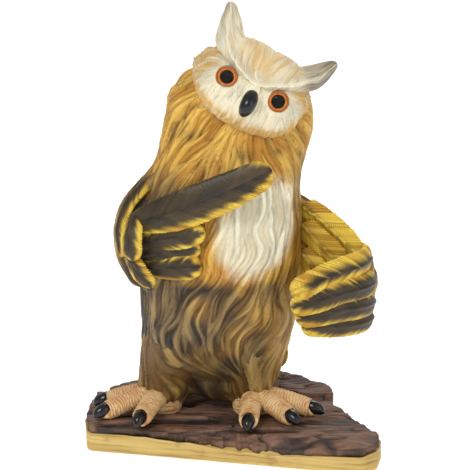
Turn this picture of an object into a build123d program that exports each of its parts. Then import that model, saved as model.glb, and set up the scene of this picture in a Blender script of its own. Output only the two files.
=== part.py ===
# An owl figurine standing on a split-log slab: cast resin sections, glass eyes and steel leg pins.
# Frame: +Z up, the owl faces -Y, origin on the slab's underside below the middle of the body.
# Right and left are the owl's own, so its right wing is on the -X side.
import os

from build123d import *

os.makedirs("parts", exist_ok=True)

# Overall sizes, millimetres
figure_height = 278.5  # bark surface to the tip of the higher ear tuft
figure_width = 178.0  # outer edge of one wing to the other
figure_depth = 118.0  # wing tips to tail
base_width = 197.0
base_depth = 155.0

# Base
slab_thickness = 13.0
slab_corner_radius = 6.0
slab_edge_radius = 1.5
bark_thickness = 3.0
bark_inset = 2.0
bark_step = 4.0  # how much higher the bark is behind the owl
pin_diameter = 5.0
pin_length = 62.0
pin_floor = 4.0  # slab left under the blind pin holes

# Castings
casting_wall = 14.0
dowel_diameter = 8.0
dowel_length = 18.0
neck_dowel_diameter = 12.0
neck_dowel_length = 30.0
pin_clearance = 0.1  # radial, round every pin and dowel
glue_gap = 0.05  # between an eye part and its socket

# Head
head_tilt = 26.6  # degrees, towards the owl's left
eye_diameter = 12.0
pupil_diameter = 8.0
iris_thickness = 1.2
lens_height = 4.0
eyelid_width = 1.0
eyelid_height = 2.0
eye_spacing = 35.5

# Feet and plumage
toe_radius = 6.0
claw_radius = 4.0
claw_length = 10.0
foot_height = 13.0
leg_extra = 5.0  # added to the legs between the feet and the belly
feather_thickness = 8.0

# The sculpture was laid out at these sizes, and its stations stretch with the overall ones.
ground = slab_thickness + bark_thickness
stretch_x = figure_width / 178.0
stretch_y = figure_depth / 118.0
stretch_z = figure_height / 278.5


def level(z):
    """The height of a station of the sculpture, measured from the bark surface up."""
    up_the_leg = min(max((z - foot_height) / 40, 0), 1)
    return ground + (z + leg_extra * up_the_leg) * stretch_z


def spot(x, y, z):
    """A point of the sculpture, with z measured from the bark surface."""
    return Vector(x * stretch_x, y * stretch_y, level(z))


head_centre = (10.9, 0.0, 222.0)
head_plane = Plane(origin=spot(*head_centre)).rotated((0, head_tilt, 0))


def head_spot(right, y, up):
    """A point of the head: right and up follow the tilted face, seen from the front."""
    return head_plane.from_local_coords(Vector(right * stretch_x, y * stretch_y, up * stretch_z))


def cut_away(others):
    """Cuts solids that are already made out of the part being built."""
    for other in others:
        add(other.part, mode=Mode.SUBTRACT)


def level_loft(stations, clear_of=()):
    """A body lofted through level ellipses: height, centre x, centre y, half width, half depth."""
    with BuildPart() as body:
        for z, x, y, half_width, half_depth in stations:
            with BuildSketch(Plane.XY.offset(level(z))):
                with Locations((x * stretch_x, y * stretch_y)):
                    Ellipse(half_width * stretch_x, half_depth * stretch_y)
        loft()
        cut_away(clear_of)
    return body


def path_loft(points, sizes, across, clear_of=()):
    """A limb or feather lofted along points, with (half width, half thickness) ellipses square to the run."""
    with BuildPart() as limb:
        for i, (point, (half_width, half_thickness)) in enumerate(zip(points, sizes)):
            before = points[max(i - 1, 0)]
            after = points[min(i + 1, len(points) - 1)]
            with BuildSketch(Plane(origin=point, x_dir=across, z_dir=after - before)):
                Ellipse(half_width, half_thickness)
        loft()
        cut_away(clear_of)
    return limb


def feather(points, half_widths, across, clear_of=()):
    """A resin feather: full thickness at the quill, thinning to a third at the tip."""
    last = len(points) - 1
    sizes = [
        (half_width, feather_thickness / 2 * (1 - 0.66 * i / last))
        for i, half_width in enumerate(half_widths)
    ]
    return path_loft([spot(*p) for p in points], sizes, across, clear_of)


# --- Base: a slab of split log with its bark left on top -------------------------------------
slab_outline = [
    (-98, -29), (82, -73), (92, -64), (96, -44), (73, -3), (65, 6), (69, 14),
    (66, 34), (48, 58), (24, 78), (-18, 82), (-60, 68), (-95, 32), (-101, -5),
]
step_outline = [(-62, 44), (-20, 32), (25, 26), (110, -4), (110, 110), (-62, 110)]
stretch_base = (base_width / 197.0, base_depth / 155.0)
base_points = [(x * stretch_base[0], y * stretch_base[1]) for x, y in slab_outline]
step_points = [(x * stretch_base[0], y * stretch_base[1]) for x, y in step_outline]

with BuildPart() as base_slab:
    with BuildSketch():
        Polygon(*base_points, align=None)
        fillet(vertices(), slab_corner_radius)
    extrude(amount=slab_thickness)
    fillet(faces().sort_by(Axis.Z)[0].edges(), slab_edge_radius)

with BuildPart() as base_bark:
    with BuildSketch(Plane.XY.offset(slab_thickness)):
        Polygon(*base_points, align=None)
        fillet(vertices(), slab_corner_radius)
        offset(amount=-bark_inset, kind=Kind.INTERSECTION, mode=Mode.REPLACE)
    extrude(amount=bark_thickness)
    with BuildSketch(Plane.XY.offset(slab_thickness)):
        Polygon(*base_points, align=None)
        fillet(vertices(), slab_corner_radius)
        offset(amount=-bark_inset, kind=Kind.INTERSECTION, mode=Mode.REPLACE)
        Polygon(*step_points, align=None, mode=Mode.INTERSECT)
    extrude(amount=bark_thickness + bark_step)

# --- Torso: a hollow casting from the belly to the neck seat ---------------------------------
torso_stations = [
    (20, -13, 8, 30, 22), (40, -12.5, 3, 46, 34), (62, -11.5, 2, 50.5, 42), (87, -12, 1, 54, 46),
    (117, -10, 0, 53.5, 47), (147, -7, 0, 50.5, 45.5), (172, -2.5, 1, 48.5, 44), (187, 1, 2, 48.5, 43),
]
neck = 187.0

torso = level_loft(torso_stations)
hollow_stations = [
    (z, x, y, half_width - casting_wall / stretch_x, half_depth - casting_wall / stretch_y)
    for z, x, y, half_width, half_depth in torso_stations[2:6]
]
cavity = level_loft(hollow_stations)

# --- Head: shell, crest over the brows, face mask, ear tufts ---------------------------------
crest_stations = [  # right, up, half height, half depth
    (-26, 19.5, 8, 12.5), (-13, 17, 9.5, 18), (1.5, 15.5, 10.5, 20), (16, 15, 9.5, 18), (30, 16.5, 8, 12.5),
]
with BuildPart() as crest:
    for right, up, half_height, half_depth in crest_stations:
        centre = head_spot(right, -17, up)
        with BuildSketch(Plane(origin=centre, x_dir=(0, 1, 0), z_dir=head_plane.x_dir)):
            Ellipse(half_depth * stretch_y, half_height * stretch_z)
    loft()

mask_stations = [(-21, 40, 27), (-30, 37, 25), (-36, 29, 20), (-39, 18, 13)]  # y, half width, half height
mask_drop = 5.0  # the mask's middle below the eye line
with BuildPart() as face_mask:
    for y, half_width, half_height in mask_stations:
        centre = head_spot(0, y, -mask_drop)
        with BuildSketch(Plane(origin=centre, x_dir=head_plane.x_dir, z_dir=(0, -1, 0))):
            Ellipse(half_width * stretch_x, half_height * stretch_z)
    loft()
    cut_away([crest])
with torso:  # the mask's lower edge hangs in front of the neck, in a relief
    cut_away([face_mask])

head_stations = [  # x, y, z, tilt, half width, half depth
    (1, 2, 187, 0, 48.5, 43), (4.5, 1.5, 198, 9, 47, 42), (9.5, 2, 211, 19, 44, 40),
    (17, 3, 222, 26.6, 37, 35), (21, 4, 231, 26.6, 27, 26), (23.5, 4, 236.5, 26.6, 13, 13),
]
with BuildPart() as head:
    for x, y, z, tilt, half_width, half_depth in head_stations:
        with BuildSketch(Plane(origin=spot(x, y, z)).rotated((0, tilt * head_tilt / 26.6, 0))):
            Ellipse(half_width * stretch_x, half_depth * stretch_y)
    loft()
    cut_away([crest, face_mask])


def ear_tuft(points):
    """One horn-shaped tuft, rising outwards from the end of the crest."""
    sizes = [(9.0, 9.0), (6.8, 6.5), (4.8, 4.6), (1.8, 1.8)]
    return path_loft([head_spot(*p) for p in points], sizes, (0, 1, 0), [crest, head])


ear_tuft_right = ear_tuft([(-21, -13, 18), (-27.5, -11, 24.5), (-31.5, -9, 31.5), (-34.5, -8, 39)])
ear_tuft_left = ear_tuft([(26.5, -13, 14), (33.5, -11, 20), (38.5, -9, 26.5), (42.5, -8, 34)])

beak_drop = [(2, -35, 3), (2, -42, -4), (2.2, -46, -11), (2.6, -45, -18)]
beak_sizes = [(2.6, 3.0), (5.4, 5.0), (4.6, 4.4), (1.0, 1.0)]
beak = path_loft(
    [head_spot(*p) for p in beak_drop],
    [(half_width, half_depth) for half_width, half_depth in beak_sizes],
    head_plane.x_dir,
    [face_mask, crest, head],
)


# --- Eyes: clear lens over a painted iris and pupil, in a rolled eyelid ----------------------
def eye_plane(side):
    """The plane of an iris face, which looks a little outwards."""
    centre = head_spot(side * eye_spacing / 2 / stretch_x, -36, 0)
    return Plane(origin=centre, x_dir=head_plane.x_dir, z_dir=(side * 0.16, -1, 0.02))


def eye_parts(side):
    """Iris ring, pupil disc, lens and eyelid of one eye."""
    seat = eye_plane(side)
    with BuildPart() as iris:
        with BuildSketch(seat):
            Circle(eye_diameter / 2)
            Circle(pupil_diameter / 2, mode=Mode.SUBTRACT)
        extrude(amount=-iris_thickness)
    with BuildPart() as pupil:
        with BuildSketch(seat):
            Circle(pupil_diameter / 2 - glue_gap)
        extrude(amount=-iris_thickness)
    with BuildPart() as lens:
        with BuildSketch(Plane(origin=seat.origin, x_dir=seat.x_dir, z_dir=-seat.y_dir)):
            with BuildLine():
                rim = Line((0, 0), (eye_diameter / 2, 0))
                dome = ThreePointArc(rim @ 1, *dome_points())
                Line(dome @ 1, (0, 0))
            make_face()
        revolve(axis=Axis(seat.origin, seat.z_dir))
    with BuildPart() as eyelid:
        with BuildSketch(seat):
            Circle(eye_diameter / 2 + glue_gap + eyelid_width)
            Circle(eye_diameter / 2 + glue_gap, mode=Mode.SUBTRACT)
        extrude(amount=eyelid_height)
        fillet(faces().sort_by(Axis(seat.origin, seat.z_dir))[-1].edges(), eyelid_width * 0.45)
    return iris, pupil, lens, eyelid


def dome_points():
    """A middle point and the top of the lens's arc, which meets the iris at its rim."""
    rim = eye_diameter / 2
    radius = (rim**2 + lens_height**2) / (2 * lens_height)
    middle = rim / 2
    return (middle, (radius**2 - middle**2) ** 0.5 - radius + lens_height), (0, lens_height)


iris_right, pupil_right, lens_right, eyelid_right = eye_parts(-1)
iris_left, pupil_left, lens_left, eyelid_left = eye_parts(1)

for side in (-1, 1):
    with BuildPart() as socket:
        with BuildSketch(eye_plane(side)):
            Circle(eye_diameter / 2 + glue_gap + eyelid_width)
        extrude(amount=eye_diameter)
        with BuildSketch(eye_plane(side)):
            Circle(eye_diameter / 2 + glue_gap)
        extrude(amount=-iris_thickness - glue_gap)
    with face_mask:
        cut_away([socket])
    with crest:
        cut_away([socket])
    with head:
        cut_away([socket])
    with beak:
        cut_away([socket])

# --- Legs, feet, toes and claws --------------------------------------------------------------
leg_stations = {
    "right": [(13, -46, 4, 17, 16), (22, -46, 3, 20, 19), (42, -43, 1, 22, 24), (67, -36, 0, 20, 28)],
    "left": [(13, 10, -1, 14, 14), (22, 10, -1, 16.5, 17), (42, 13, -1, 21, 24), (67, 15, 0, 22, 28)],
}
foot_spots = {"right": (-47, 0), "left": (11, -4)}
claw_ends = {  # where each claw meets the bark
    "right": {"outer": (-94, -1), "middle": (-92, -26), "inner": (-64, -43)},
    "left": {"inner": (8, -50), "middle": (41, -40), "outer": (58, -19)},
}

legs, feet, toes, claws = {}, {}, {}, {}
for side, stations in leg_stations.items():
    legs[side] = level_loft(stations, [torso])
    foot_x, foot_y = foot_spots[side]
    with BuildPart() as foot:
        with BuildSketch(Plane.XY.offset(ground)):
            with Locations((foot_x * stretch_x, foot_y * stretch_y)):
                Ellipse(13, 11)
        with BuildSketch(Plane.XY.offset(ground + foot_height * stretch_z)):
            with Locations((foot_x * stretch_x, foot_y * stretch_y)):
                Ellipse(12, 10)
        loft()
        cut_away([legs[side]])
    feet[side] = foot
    made = []
    for name, (claw_x, claw_y) in claw_ends[side].items():
        root = Vector(foot_x * stretch_x, foot_y * stretch_y, ground + foot_height * 0.75)
        tip = Vector(claw_x * stretch_x, claw_y * stretch_y, ground + claw_radius)
        run = Vector(tip.X - root.X, tip.Y - root.Y, 0)
        along = run.normalized()
        end = Vector(tip.X, tip.Y, ground + toe_radius) - along * claw_length
        knuckle = root * 0.42 + end * 0.58 + Vector(0, 0, 1.6)
        toe = path_loft(
            [root, knuckle, end, end + along * toe_radius * 0.5],
            [(7.5, 7.0), (6.6, 6.2), (toe_radius, toe_radius), (toe_radius * 0.72, toe_radius * 0.72)],
            along.cross(Vector(0, 0, 1)),
            [foot, legs[side], *made],
        )
        with toe:  # the pad is flat where it stands on the bark
            split(bisect_by=Plane.XY.offset(ground))
        made.append(toe)
        claw = path_loft(
            [end + Vector(0, 0, 0.4), end + along * claw_length * 0.55, tip + Vector(0, 0, -claw_radius * 0.5)],
            [(claw_radius, claw_radius), (claw_radius * 0.92, claw_radius * 0.92), (1.3, 1.3)],
            along.cross(Vector(0, 0, 1)),
            [toe, *made],
        )
        with claw:
            split(bisect_by=Plane.XY.offset(ground))
        toes[f"toe_{side}_{name}"] = toe
        claws[f"claw_{side}_{name}"] = claw

# --- Tail: five feathers down the back -------------------------------------------------------
tail_feathers = {}
tail_made = []
for number, (x, spread) in enumerate([(-13, 0), (-25, -9), (-1, 9), (-36, -18), (10, 18)]):
    lift = 2.5 * (number + 1) // 2
    points = [
        (x + spread * share, y - lift, z)
        for share, y, z in [(0, 36, 84), (0.4, 44, 60), (0.8, 50, 36), (1, 53, 16), (1.1, 53.5, 8)]
    ]
    quill = feather(points, (7, 8.5, 9, 7.5, 3), (1, 0, 0), [torso, *legs.values(), *tail_made])
    tail_feathers[f"tail_feather_{number + 1}"] = quill
    tail_made.append(quill)

# --- Right wing: folded across the chest -----------------------------------------------------
wing_right_arm = path_loft(
    [spot(*p) for p in [(-40, 3, 150), (-51, -1, 142), (-60, -8, 129), (-63, -15, 113), (-59, -21, 98)]],
    [(16, 14), (18, 15), (18, 14), (15.5, 12.5), (9, 8)],
    (0, 1, 0),
    [torso],
)
right_quills = {
    "wing_right_primary_1": (
        [(-66, -30, 132), (-38, -49, 146), (-16, -54, 156), (4, -55, 164), (17, -54, 170), (23, -53, 173)],
        (8, 12, 12, 11, 8, 3), (-0.4, 0, 0.92)),
    "wing_right_primary_2": (
        [(-63, -30, 120), (-38, -46, 128), (-25, -49, 131), (-17, -50, 133)], (6, 8.5, 8, 3), (-0.2, 0, 1)),
    "wing_right_primary_3": (
        [(-62, -29, 110), (-41, -44, 118), (-29, -46, 120), (-21, -47, 122)], (6, 7.5, 7, 3), (-0.2, 0, 1)),
    "wing_right_primary_4": (
        [(-60, -27, 101), (-40, -43, 107), (-29, -45, 109), (-21, -46, 111)], (6, 8.5, 8, 3), (-0.1, 0, 1)),
    "wing_right_alula_1": (
        [(-60, -34, 140), (-65, -43, 131), (-66, -45, 121), (-64, -44, 112)], (4, 6.5, 7, 3.5), (1, 0, 0.1)),
    "wing_right_alula_2": (
        [(-64, -36, 111), (-61, -40, 104), (-57, -41, 98), (-53, -40, 93)], (4, 6, 6.2, 3), (0.8, 0, 0.6)),
    "wing_right_covert_1": (
        [(-58, 8, 155), (-72, 4, 141), (-79, -2, 123), (-78, -8, 106)], (6, 9, 8.5, 3.5), (0, 1, 0)),
    "wing_right_covert_2": (
        [(-58, -13, 154), (-72, -17, 142), (-79, -20, 127), (-78, -23, 110)], (6, 8, 8, 3.5), (0, 1, 0)),
}

# --- Left wing: held off the body, with the hand folded back towards the belly ---------------
wing_left_arm = path_loft(
    [spot(*p) for p in [(34, 8, 113), (50, 7, 109), (65, 4, 102), (78, -1, 95), (89, -7, 89)]],
    [(33, 11), (30, 10), (23, 9), (17.5, 8), (12.5, 7)],
    (0, 0, 1),
    [torso],
)
wing_left_wrist = path_loft(
    [spot(*p) for p in [(85, -5, 91), (91, -11, 87), (90.5, -22, 84)]],
    [(15, 6), (21, 4.5), (21, 3)],
    (0, 0, 1),
    [wing_left_arm],
)
left_quills = {
    "wing_left_primary_1": (
        [(90.5, -13, 103), (84, -36, 106), (63, -53, 104), (46, -60, 98), (36, -62, 94)],
        (7, 9, 9, 8, 4), (0, 0, 1)),
    "wing_left_primary_2": (
        [(91.5, -13, 89), (86, -35, 91), (64, -54, 91), (46, -59, 88), (36, -60, 86)], (6, 8, 8, 7, 3), (0, 0, 1)),
    "wing_left_primary_3": (
        [(91.5, -13, 76), (86, -33, 78), (66, -52, 80), (50, -57, 78), (41, -58, 77)], (6, 7.5, 7.5, 6, 3), (0, 0, 1)),
    "wing_left_primary_4": (
        [(89, -13, 66), (83.5, -31, 66), (66, -48, 68), (52, -53, 69), (44, -54, 70)], (5, 7, 7, 5.5, 3), (0, 0, 1)),
    "wing_left_covert_1": (
        [(50, -3, 138), (62, -7, 128), (75, -11, 115), (84, -15, 106)], (5, 8, 8, 4), (0.6, 0, 0.8)),
    "wing_left_covert_2": (
        [(46, -4, 124), (52, -9, 112), (60, -12, 102), (67, -15, 95)], (5, 8, 8, 4), (0.8, 0, 0.6)),
    "wing_left_covert_3": (
        [(44, -4, 102), (51, -8, 94), (58, -11, 87), (64, -13, 82)], (5, 7, 7, 3.5), (0.8, 0, 0.6)),
}

quills = {}
made = [torso, wing_right_arm, wing_left_arm, wing_left_wrist, head, face_mask]
for name, (points, half_widths, across) in {**right_quills, **left_quills}.items():
    quills[name] = feather(points, half_widths, across, made)
    made.append(quills[name])

# --- Pins and dowels that hold the castings together -----------------------------------------
with torso:  # hollowed last, so that what seats on the torso stops at its outside
    cut_away([cavity])

neck_spot = spot(1, 2, neck)
dowel_right = Plane(origin=spot(-56, -3, 135), x_dir=(0, 1, 0), z_dir=(-1, 0, 0))
dowel_left = Plane(origin=spot(41, 7, 118), x_dir=(0, 1, 0), z_dir=(1, 0, 0))
leg_spots = [
    (foot_spots[side][0] * stretch_x, foot_spots[side][1] * stretch_y) for side in ("right", "left")
]


def rod(plane, diameter, length):
    """A round bar centred on a plane and square to it."""
    with BuildPart() as bar:
        with BuildSketch(plane):
            Circle(diameter / 2)
        extrude(amount=length / 2, both=True)
    return bar


neck_dowel = rod(Plane(neck_spot), neck_dowel_diameter, neck_dowel_length)
wing_right_dowel = rod(dowel_right, dowel_diameter, dowel_length)
wing_left_dowel = rod(dowel_left, dowel_diameter, dowel_length)
pin_middle = pin_floor + pin_length / 2
pins = [rod(Plane((x, y, pin_middle)), pin_diameter, pin_length) for x, y in leg_spots]
with BuildPart() as leg_pins:
    for pin in pins:
        add(pin.part)

fit = 2 * pin_clearance
bores = [
    rod(Plane(neck_spot), neck_dowel_diameter + fit, neck_dowel_length + fit),
    rod(dowel_right, dowel_diameter + fit, dowel_length + fit),
    rod(dowel_left, dowel_diameter + fit, dowel_length + fit),
    *[rod(Plane((x, y, pin_middle)), pin_diameter + fit, pin_length + fit) for x, y in leg_spots],
]
for holder in (torso, head, face_mask):
    with holder:
        cut_away(bores)
with wing_right_arm:
    cut_away([bores[1]])
with wing_left_arm:
    cut_away([bores[2]])
for holder in (base_slab, base_bark, *legs.values(), *feet.values(), *toes.values()):
    with holder:
        cut_away(bores[3:])

# --- One STEP file for each piece ------------------------------------------------------------
pieces = {
    "base_slab": base_slab, "base_bark": base_bark, "leg_pins": leg_pins,
    "torso": torso, "head": head, "neck_dowel": neck_dowel,
    "crest": crest, "face_mask": face_mask, "beak": beak,
    "ear_tuft_right": ear_tuft_right, "ear_tuft_left": ear_tuft_left,
    "iris_right": iris_right, "pupil_right": pupil_right, "lens_right": lens_right,
    "eyelid_right": eyelid_right, "iris_left": iris_left, "pupil_left": pupil_left,
    "lens_left": lens_left, "eyelid_left": eyelid_left,
    "leg_right": legs["right"], "leg_left": legs["left"],
    "foot_right": feet["right"], "foot_left": feet["left"],
    **toes, **claws, **tail_feathers,
    "wing_right_arm": wing_right_arm, "wing_right_dowel": wing_right_dowel,
    "wing_left_arm": wing_left_arm, "wing_left_wrist": wing_left_wrist,
    "wing_left_dowel": wing_left_dowel, **quills,
}
for name, piece in pieces.items():
    piece.part.label = name
    export_step(piece.part, f"parts/{name}.step")
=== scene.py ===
import math

import bpy
import numpy as np
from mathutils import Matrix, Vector


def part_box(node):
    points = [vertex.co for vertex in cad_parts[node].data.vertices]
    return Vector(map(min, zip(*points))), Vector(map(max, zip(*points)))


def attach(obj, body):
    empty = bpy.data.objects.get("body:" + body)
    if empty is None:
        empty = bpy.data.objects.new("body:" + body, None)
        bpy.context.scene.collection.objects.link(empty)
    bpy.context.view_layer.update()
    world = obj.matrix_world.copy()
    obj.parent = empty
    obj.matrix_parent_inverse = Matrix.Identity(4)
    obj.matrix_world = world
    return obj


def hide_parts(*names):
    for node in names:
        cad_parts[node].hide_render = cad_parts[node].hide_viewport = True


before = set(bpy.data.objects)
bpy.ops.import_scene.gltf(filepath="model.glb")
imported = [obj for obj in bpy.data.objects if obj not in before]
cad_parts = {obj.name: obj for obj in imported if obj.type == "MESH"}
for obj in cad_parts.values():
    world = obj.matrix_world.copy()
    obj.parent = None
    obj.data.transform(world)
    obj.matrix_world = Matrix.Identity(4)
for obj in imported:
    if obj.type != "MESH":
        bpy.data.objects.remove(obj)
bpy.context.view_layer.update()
print("frame loaded:", len(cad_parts), "nodes")

# The owl is laid out in millimetres, z counted from the bark it stands on, facing -Y.
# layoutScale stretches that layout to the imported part, so it follows the part's sizes.
mm = 0.001
layout = {"earTop": 278.3, "torsoWidth": 115.6, "torsoDepth": 94.3, "legExtra": 5.0,
          "legFrom": 13, "legSpan": 40}
torsoLow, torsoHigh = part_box("torso")
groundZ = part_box("base_bark")[1].z
layoutScale = np.array([
    (torsoHigh.x - torsoLow.x) / (layout["torsoWidth"] * mm),
    (torsoHigh.y - torsoLow.y) / (layout["torsoDepth"] * mm),
    (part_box("ear_tuft_right")[1].z - groundZ) / (layout["earTop"] * mm),
])


def place(points):
    # millimetres of the layout to metres of the frame; the legs are drawn out between feet and belly
    p = np.array(points, float)
    p[..., 2] += layout["legExtra"] * np.clip((p[..., 2] - layout["legFrom"]) / layout["legSpan"], 0, 1)
    return p * mm * layoutScale + np.array([0, 0, groundZ])


def smoothstep(low, high, x):
    # 0 below low, 1 above high, 3t^2 - 2t^3 between
    t = np.clip((x - low) / (high - low), 0, 1)
    return t * t * (3 - 2 * t)


def unit(v):
    return v / np.maximum(np.linalg.norm(v, axis=-1, keepdims=True), 1e-9)


def cellNoise(p, cell, seed):
    # smooth value noise: a hashed number at each corner of a cubic lattice, blended by smoothstep, -1 to 1
    q = np.asarray(p, float) / cell + 37.7 * seed
    base = np.floor(q).astype(np.int64)
    f = q - base
    f = f * f * (3 - 2 * f)
    total = 0
    for corner in range(8):
        step = np.array([corner & 1, corner >> 1 & 1, corner >> 2 & 1])
        n = base + step
        h = (n[..., 0] * 73856093) ^ (n[..., 1] * 19349663) ^ (n[..., 2] * 83492791) ^ (seed * 2654435761)
        h = ((h & 0xFFFFFFFF) * 2246822519) & 0xFFFFFFFF
        h = ((h ^ (h >> 15)) * 3266489917) & 0xFFFFFFFF
        value = ((h ^ (h >> 13)) & 0xFFFFFF) / float(0xFFFFFF)
        weight = np.where(step == 1, f, 1 - f).prod(-1)
        total = total + weight * value
    return total * 2 - 1


def curveThrough(points, count):
    # Catmull-Rom curve through the points (any number of columns), count even steps of the parameter
    p = np.asarray(points, float)
    p = np.vstack([2 * p[0] - p[1], p, 2 * p[-1] - p[-2]])
    t = np.linspace(0, len(p) - 3, count)
    i = np.minimum(t.astype(int), len(p) - 4)
    f = (t - i)[:, None]
    a, b, c, d = p[i], p[i + 1], p[i + 2], p[i + 3]
    return 0.5 * (2 * b + (c - a) * f + (2 * a - 5 * b + 4 * c - d) * f**2 + (3 * b - a - 3 * c + d) * f**3)


def evenly(curve, count, columns=3):
    # the curve resampled at equal lengths, measured on its first columns
    run = np.r_[0, np.cumsum(np.linalg.norm(np.diff(curve[:, :columns], axis=0), axis=1))]
    at = np.linspace(0, run[-1], count)
    return np.stack([np.interp(at, run, curve[:, k]) for k in range(curve.shape[1])], 1)


def gridNormals(P):
    # cross product of the central differences along the closed columns and the rows
    du = np.roll(P, -1, 1) - np.roll(P, 1, 1)
    return unit(np.cross(du, np.gradient(P, axis=0)))


def onSkin(flow, n):
    # the part of flow that lies in the skin with normal n: flow - (flow . n) n, made unit
    return unit(flow - (flow * n).sum(-1, keepdims=True) * n)


def turnedOnSkin(flow, n, turn):
    # flow turned about n: flow cos(turn) + (n x flow) sin(turn)
    return unit(flow * np.cos(turn)[..., None] + np.cross(n, flow) * np.sin(turn)[..., None])


def outwardNormals(P, directions):
    # normals of the placed grid, turned to agree with the given outward directions
    n = gridNormals(place(P))
    return n * (np.sign((n * directions).sum()) or 1)


def sampleGrid(field, r, c):
    # bilinear lookup of field[rows, columns, k] at fractional places; the columns are a closed ring
    rows, cols = field.shape[:2]
    r = np.clip(r, 0, rows - 1.001)
    c = np.mod(c, cols)
    r0 = r.astype(np.int64)
    c0 = np.minimum(c.astype(np.int64), cols - 1)
    c1 = (c0 + 1) % cols
    fr = (r - r0)[..., None]
    fc = (c - c0)[..., None]
    flat = field.reshape(rows * cols, -1)
    top = flat[r0 * cols + c0] * (1 - fc) + flat[r0 * cols + c1] * fc
    low = flat[(r0 + 1) * cols + c0] * (1 - fc) + flat[(r0 + 1) * cols + c1] * fc
    return top * (1 - fr) + low * fr


def combed(P, flow, cell, length, seed):
    # noise smeared along a flow: the mean of cell noise on the flow line through each point,
    # length millimetres long, scaled to unit spread
    du = (np.roll(P, -1, 1) - np.roll(P, 1, 1)) / 2
    dv = np.gradient(P, axis=0)
    e = (du * du).sum(-1) + 1e-6
    f = (du * dv).sum(-1)
    g = (dv * dv).sum(-1) + 1e-6
    fu = (flow * du).sum(-1)
    fv = (flow * dv).sum(-1)
    det = np.maximum(e * g - f * f, 1e-9)
    stepC = np.clip((fu * g - fv * f) / det, -6, 6)
    stepR = np.clip((fv * e - fu * f) / det, -6, 6)
    noise = cellNoise(P, cell, seed) + 0.35 * cellNoise(P, cell * 0.6, seed + 5)
    field = np.stack([noise, stepR, stepC], -1).astype(np.float32)
    rows, cols = noise.shape
    rr, cc = np.meshgrid(np.arange(rows, dtype=np.float32), np.arange(cols, dtype=np.float32), indexing="ij")
    stride = cell * 0.45
    steps = max(int(length / 2 / stride), 2)
    total = noise.copy()
    for way in (-1, 1):
        r, c = rr.copy(), cc.copy()
        here = field
        for k in range(steps):
            r = r + way * stride * here[..., 1]
            c = c + way * stride * here[..., 2]
            here = sampleGrid(field, r, c)
            total += here[..., 0] * (0.5 + 0.5 * math.cos(math.pi * (k + 1) / (steps + 1)))
    total -= total.mean()
    return total / max(total.std(), 1e-6)


def strandRidges(x, sharp=0.55):
    # rounded strands between thin valleys where x crosses zero
    return 1 - np.exp(-(x / sharp) ** 2)



def signedVolume(v, quads):
    a, b, c, d = (v[quads[:, k]] for k in range(4))
    return (np.cross(a, b) * c).sum() + (np.cross(a, c) * d).sum()


def gridFaces(rows, cols):
    r = np.arange(rows - 1)[:, None]
    c = np.arange(cols)[None, :]
    a = r * cols + c
    b = r * cols + (c + 1) % cols
    return np.stack([a, b, b + cols, a + cols], -1).reshape(-1, 4)


def addPiece(name, P, material, nodes, attributes=None, caps=True, flatCaps=False, normals=None):
    # P is [rows, columns, 3] in layout millimetres; with caps, each end ring closes on a point in its middle
    rows, cols = P.shape[:2]
    v = place(P.reshape(-1, 3))
    quads = gridFaces(rows, cols)
    fans, extra = [], []
    ring = np.arange(cols)
    after = (ring + 1) % cols
    for row in (0, rows - 1) if caps else ():
        extra.append(v[row * cols:(row + 1) * cols].mean(0))
        pole = np.full(cols, rows * cols + len(extra) - 1)
        a, b = row * cols + ring, row * cols + after
        fans.append(np.stack([pole, b, a] if row == 0 else [pole, a, b], -1))
    allVerts = np.vstack([v, *extra]) if extra else v
    fans = np.vstack(fans) if fans else np.zeros((0, 3), int)
    closing = np.stack([fans[:, 0], fans[:, 1], fans[:, 2], fans[:, 2]], -1)
    if signedVolume(allVerts, np.vstack([quads, closing])) < 0:
        quads, fans = quads[:, ::-1], fans[:, ::-1]
    mesh = bpy.data.meshes.new(name)
    mesh.from_pydata(allVerts.tolist(), [], quads.tolist() + fans.tolist(), shade_flat=False)
    if flatCaps:
        flat = np.zeros(len(mesh.polygons), bool)
        flat[len(quads):] = True
        mesh.polygons.foreach_set("use_smooth", ~flat)
    for key, values in (attributes or {}).items():
        values = np.asarray(values, np.float32).reshape(-1)
        tail = np.full(len(allVerts) - len(values), 0.5, np.float32)
        mesh.attributes.new(key, "FLOAT", "POINT").data.foreach_set("value", np.r_[values, tail])
    mesh.update()
    if normals is not None:  # a skin cut in pieces keeps the shading of the whole across the cuts
        own = np.vstack([normals.reshape(-1, 3), np.zeros((len(allVerts) - rows * cols, 3))])
        mesh.normals_split_custom_set_from_vertices(own.tolist())
    piece = bpy.data.objects.new(name, mesh)
    bpy.context.collection.objects.link(piece)
    mesh.materials.append(material)
    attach(piece, "root")
    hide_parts(*nodes)



def newGroup(name, ins, outs):
    tree = bpy.data.node_groups.new(name, "ShaderNodeTree")
    for label, kind, value in ins:
        socket = tree.interface.new_socket(label, in_out="INPUT", socket_type=kind)
        socket.default_value = value
    for label, kind in outs:
        tree.interface.new_socket(label, in_out="OUTPUT", socket_type=kind)
    return tree, tree.nodes.new("NodeGroupInput"), tree.nodes.new("NodeGroupOutput")


def setSocket(tree, socket, value):
    if isinstance(value, bpy.types.NodeSocket):
        tree.links.new(value, socket)
    elif isinstance(value, (tuple, list)) and len(value) == 3 and socket.type == "RGBA":
        socket.default_value = (*value, 1)
    else:
        socket.default_value = value


def mathStep(tree, kind, a, b=0.0, clamp=False):
    n = tree.nodes.new("ShaderNodeMath")
    n.operation = kind
    n.use_clamp = clamp
    setSocket(tree, n.inputs[0], a)
    setSocket(tree, n.inputs[1], b)
    return n.outputs[0]


def mixColour(tree, factor, a, b, kind="MIX"):
    n = tree.nodes.new("ShaderNodeMix")
    n.data_type = "RGBA"
    n.blend_type = kind
    setSocket(tree, n.inputs["Factor"], factor)
    setSocket(tree, n.inputs[6], a)
    setSocket(tree, n.inputs[7], b)
    return n.outputs[2]


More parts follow.
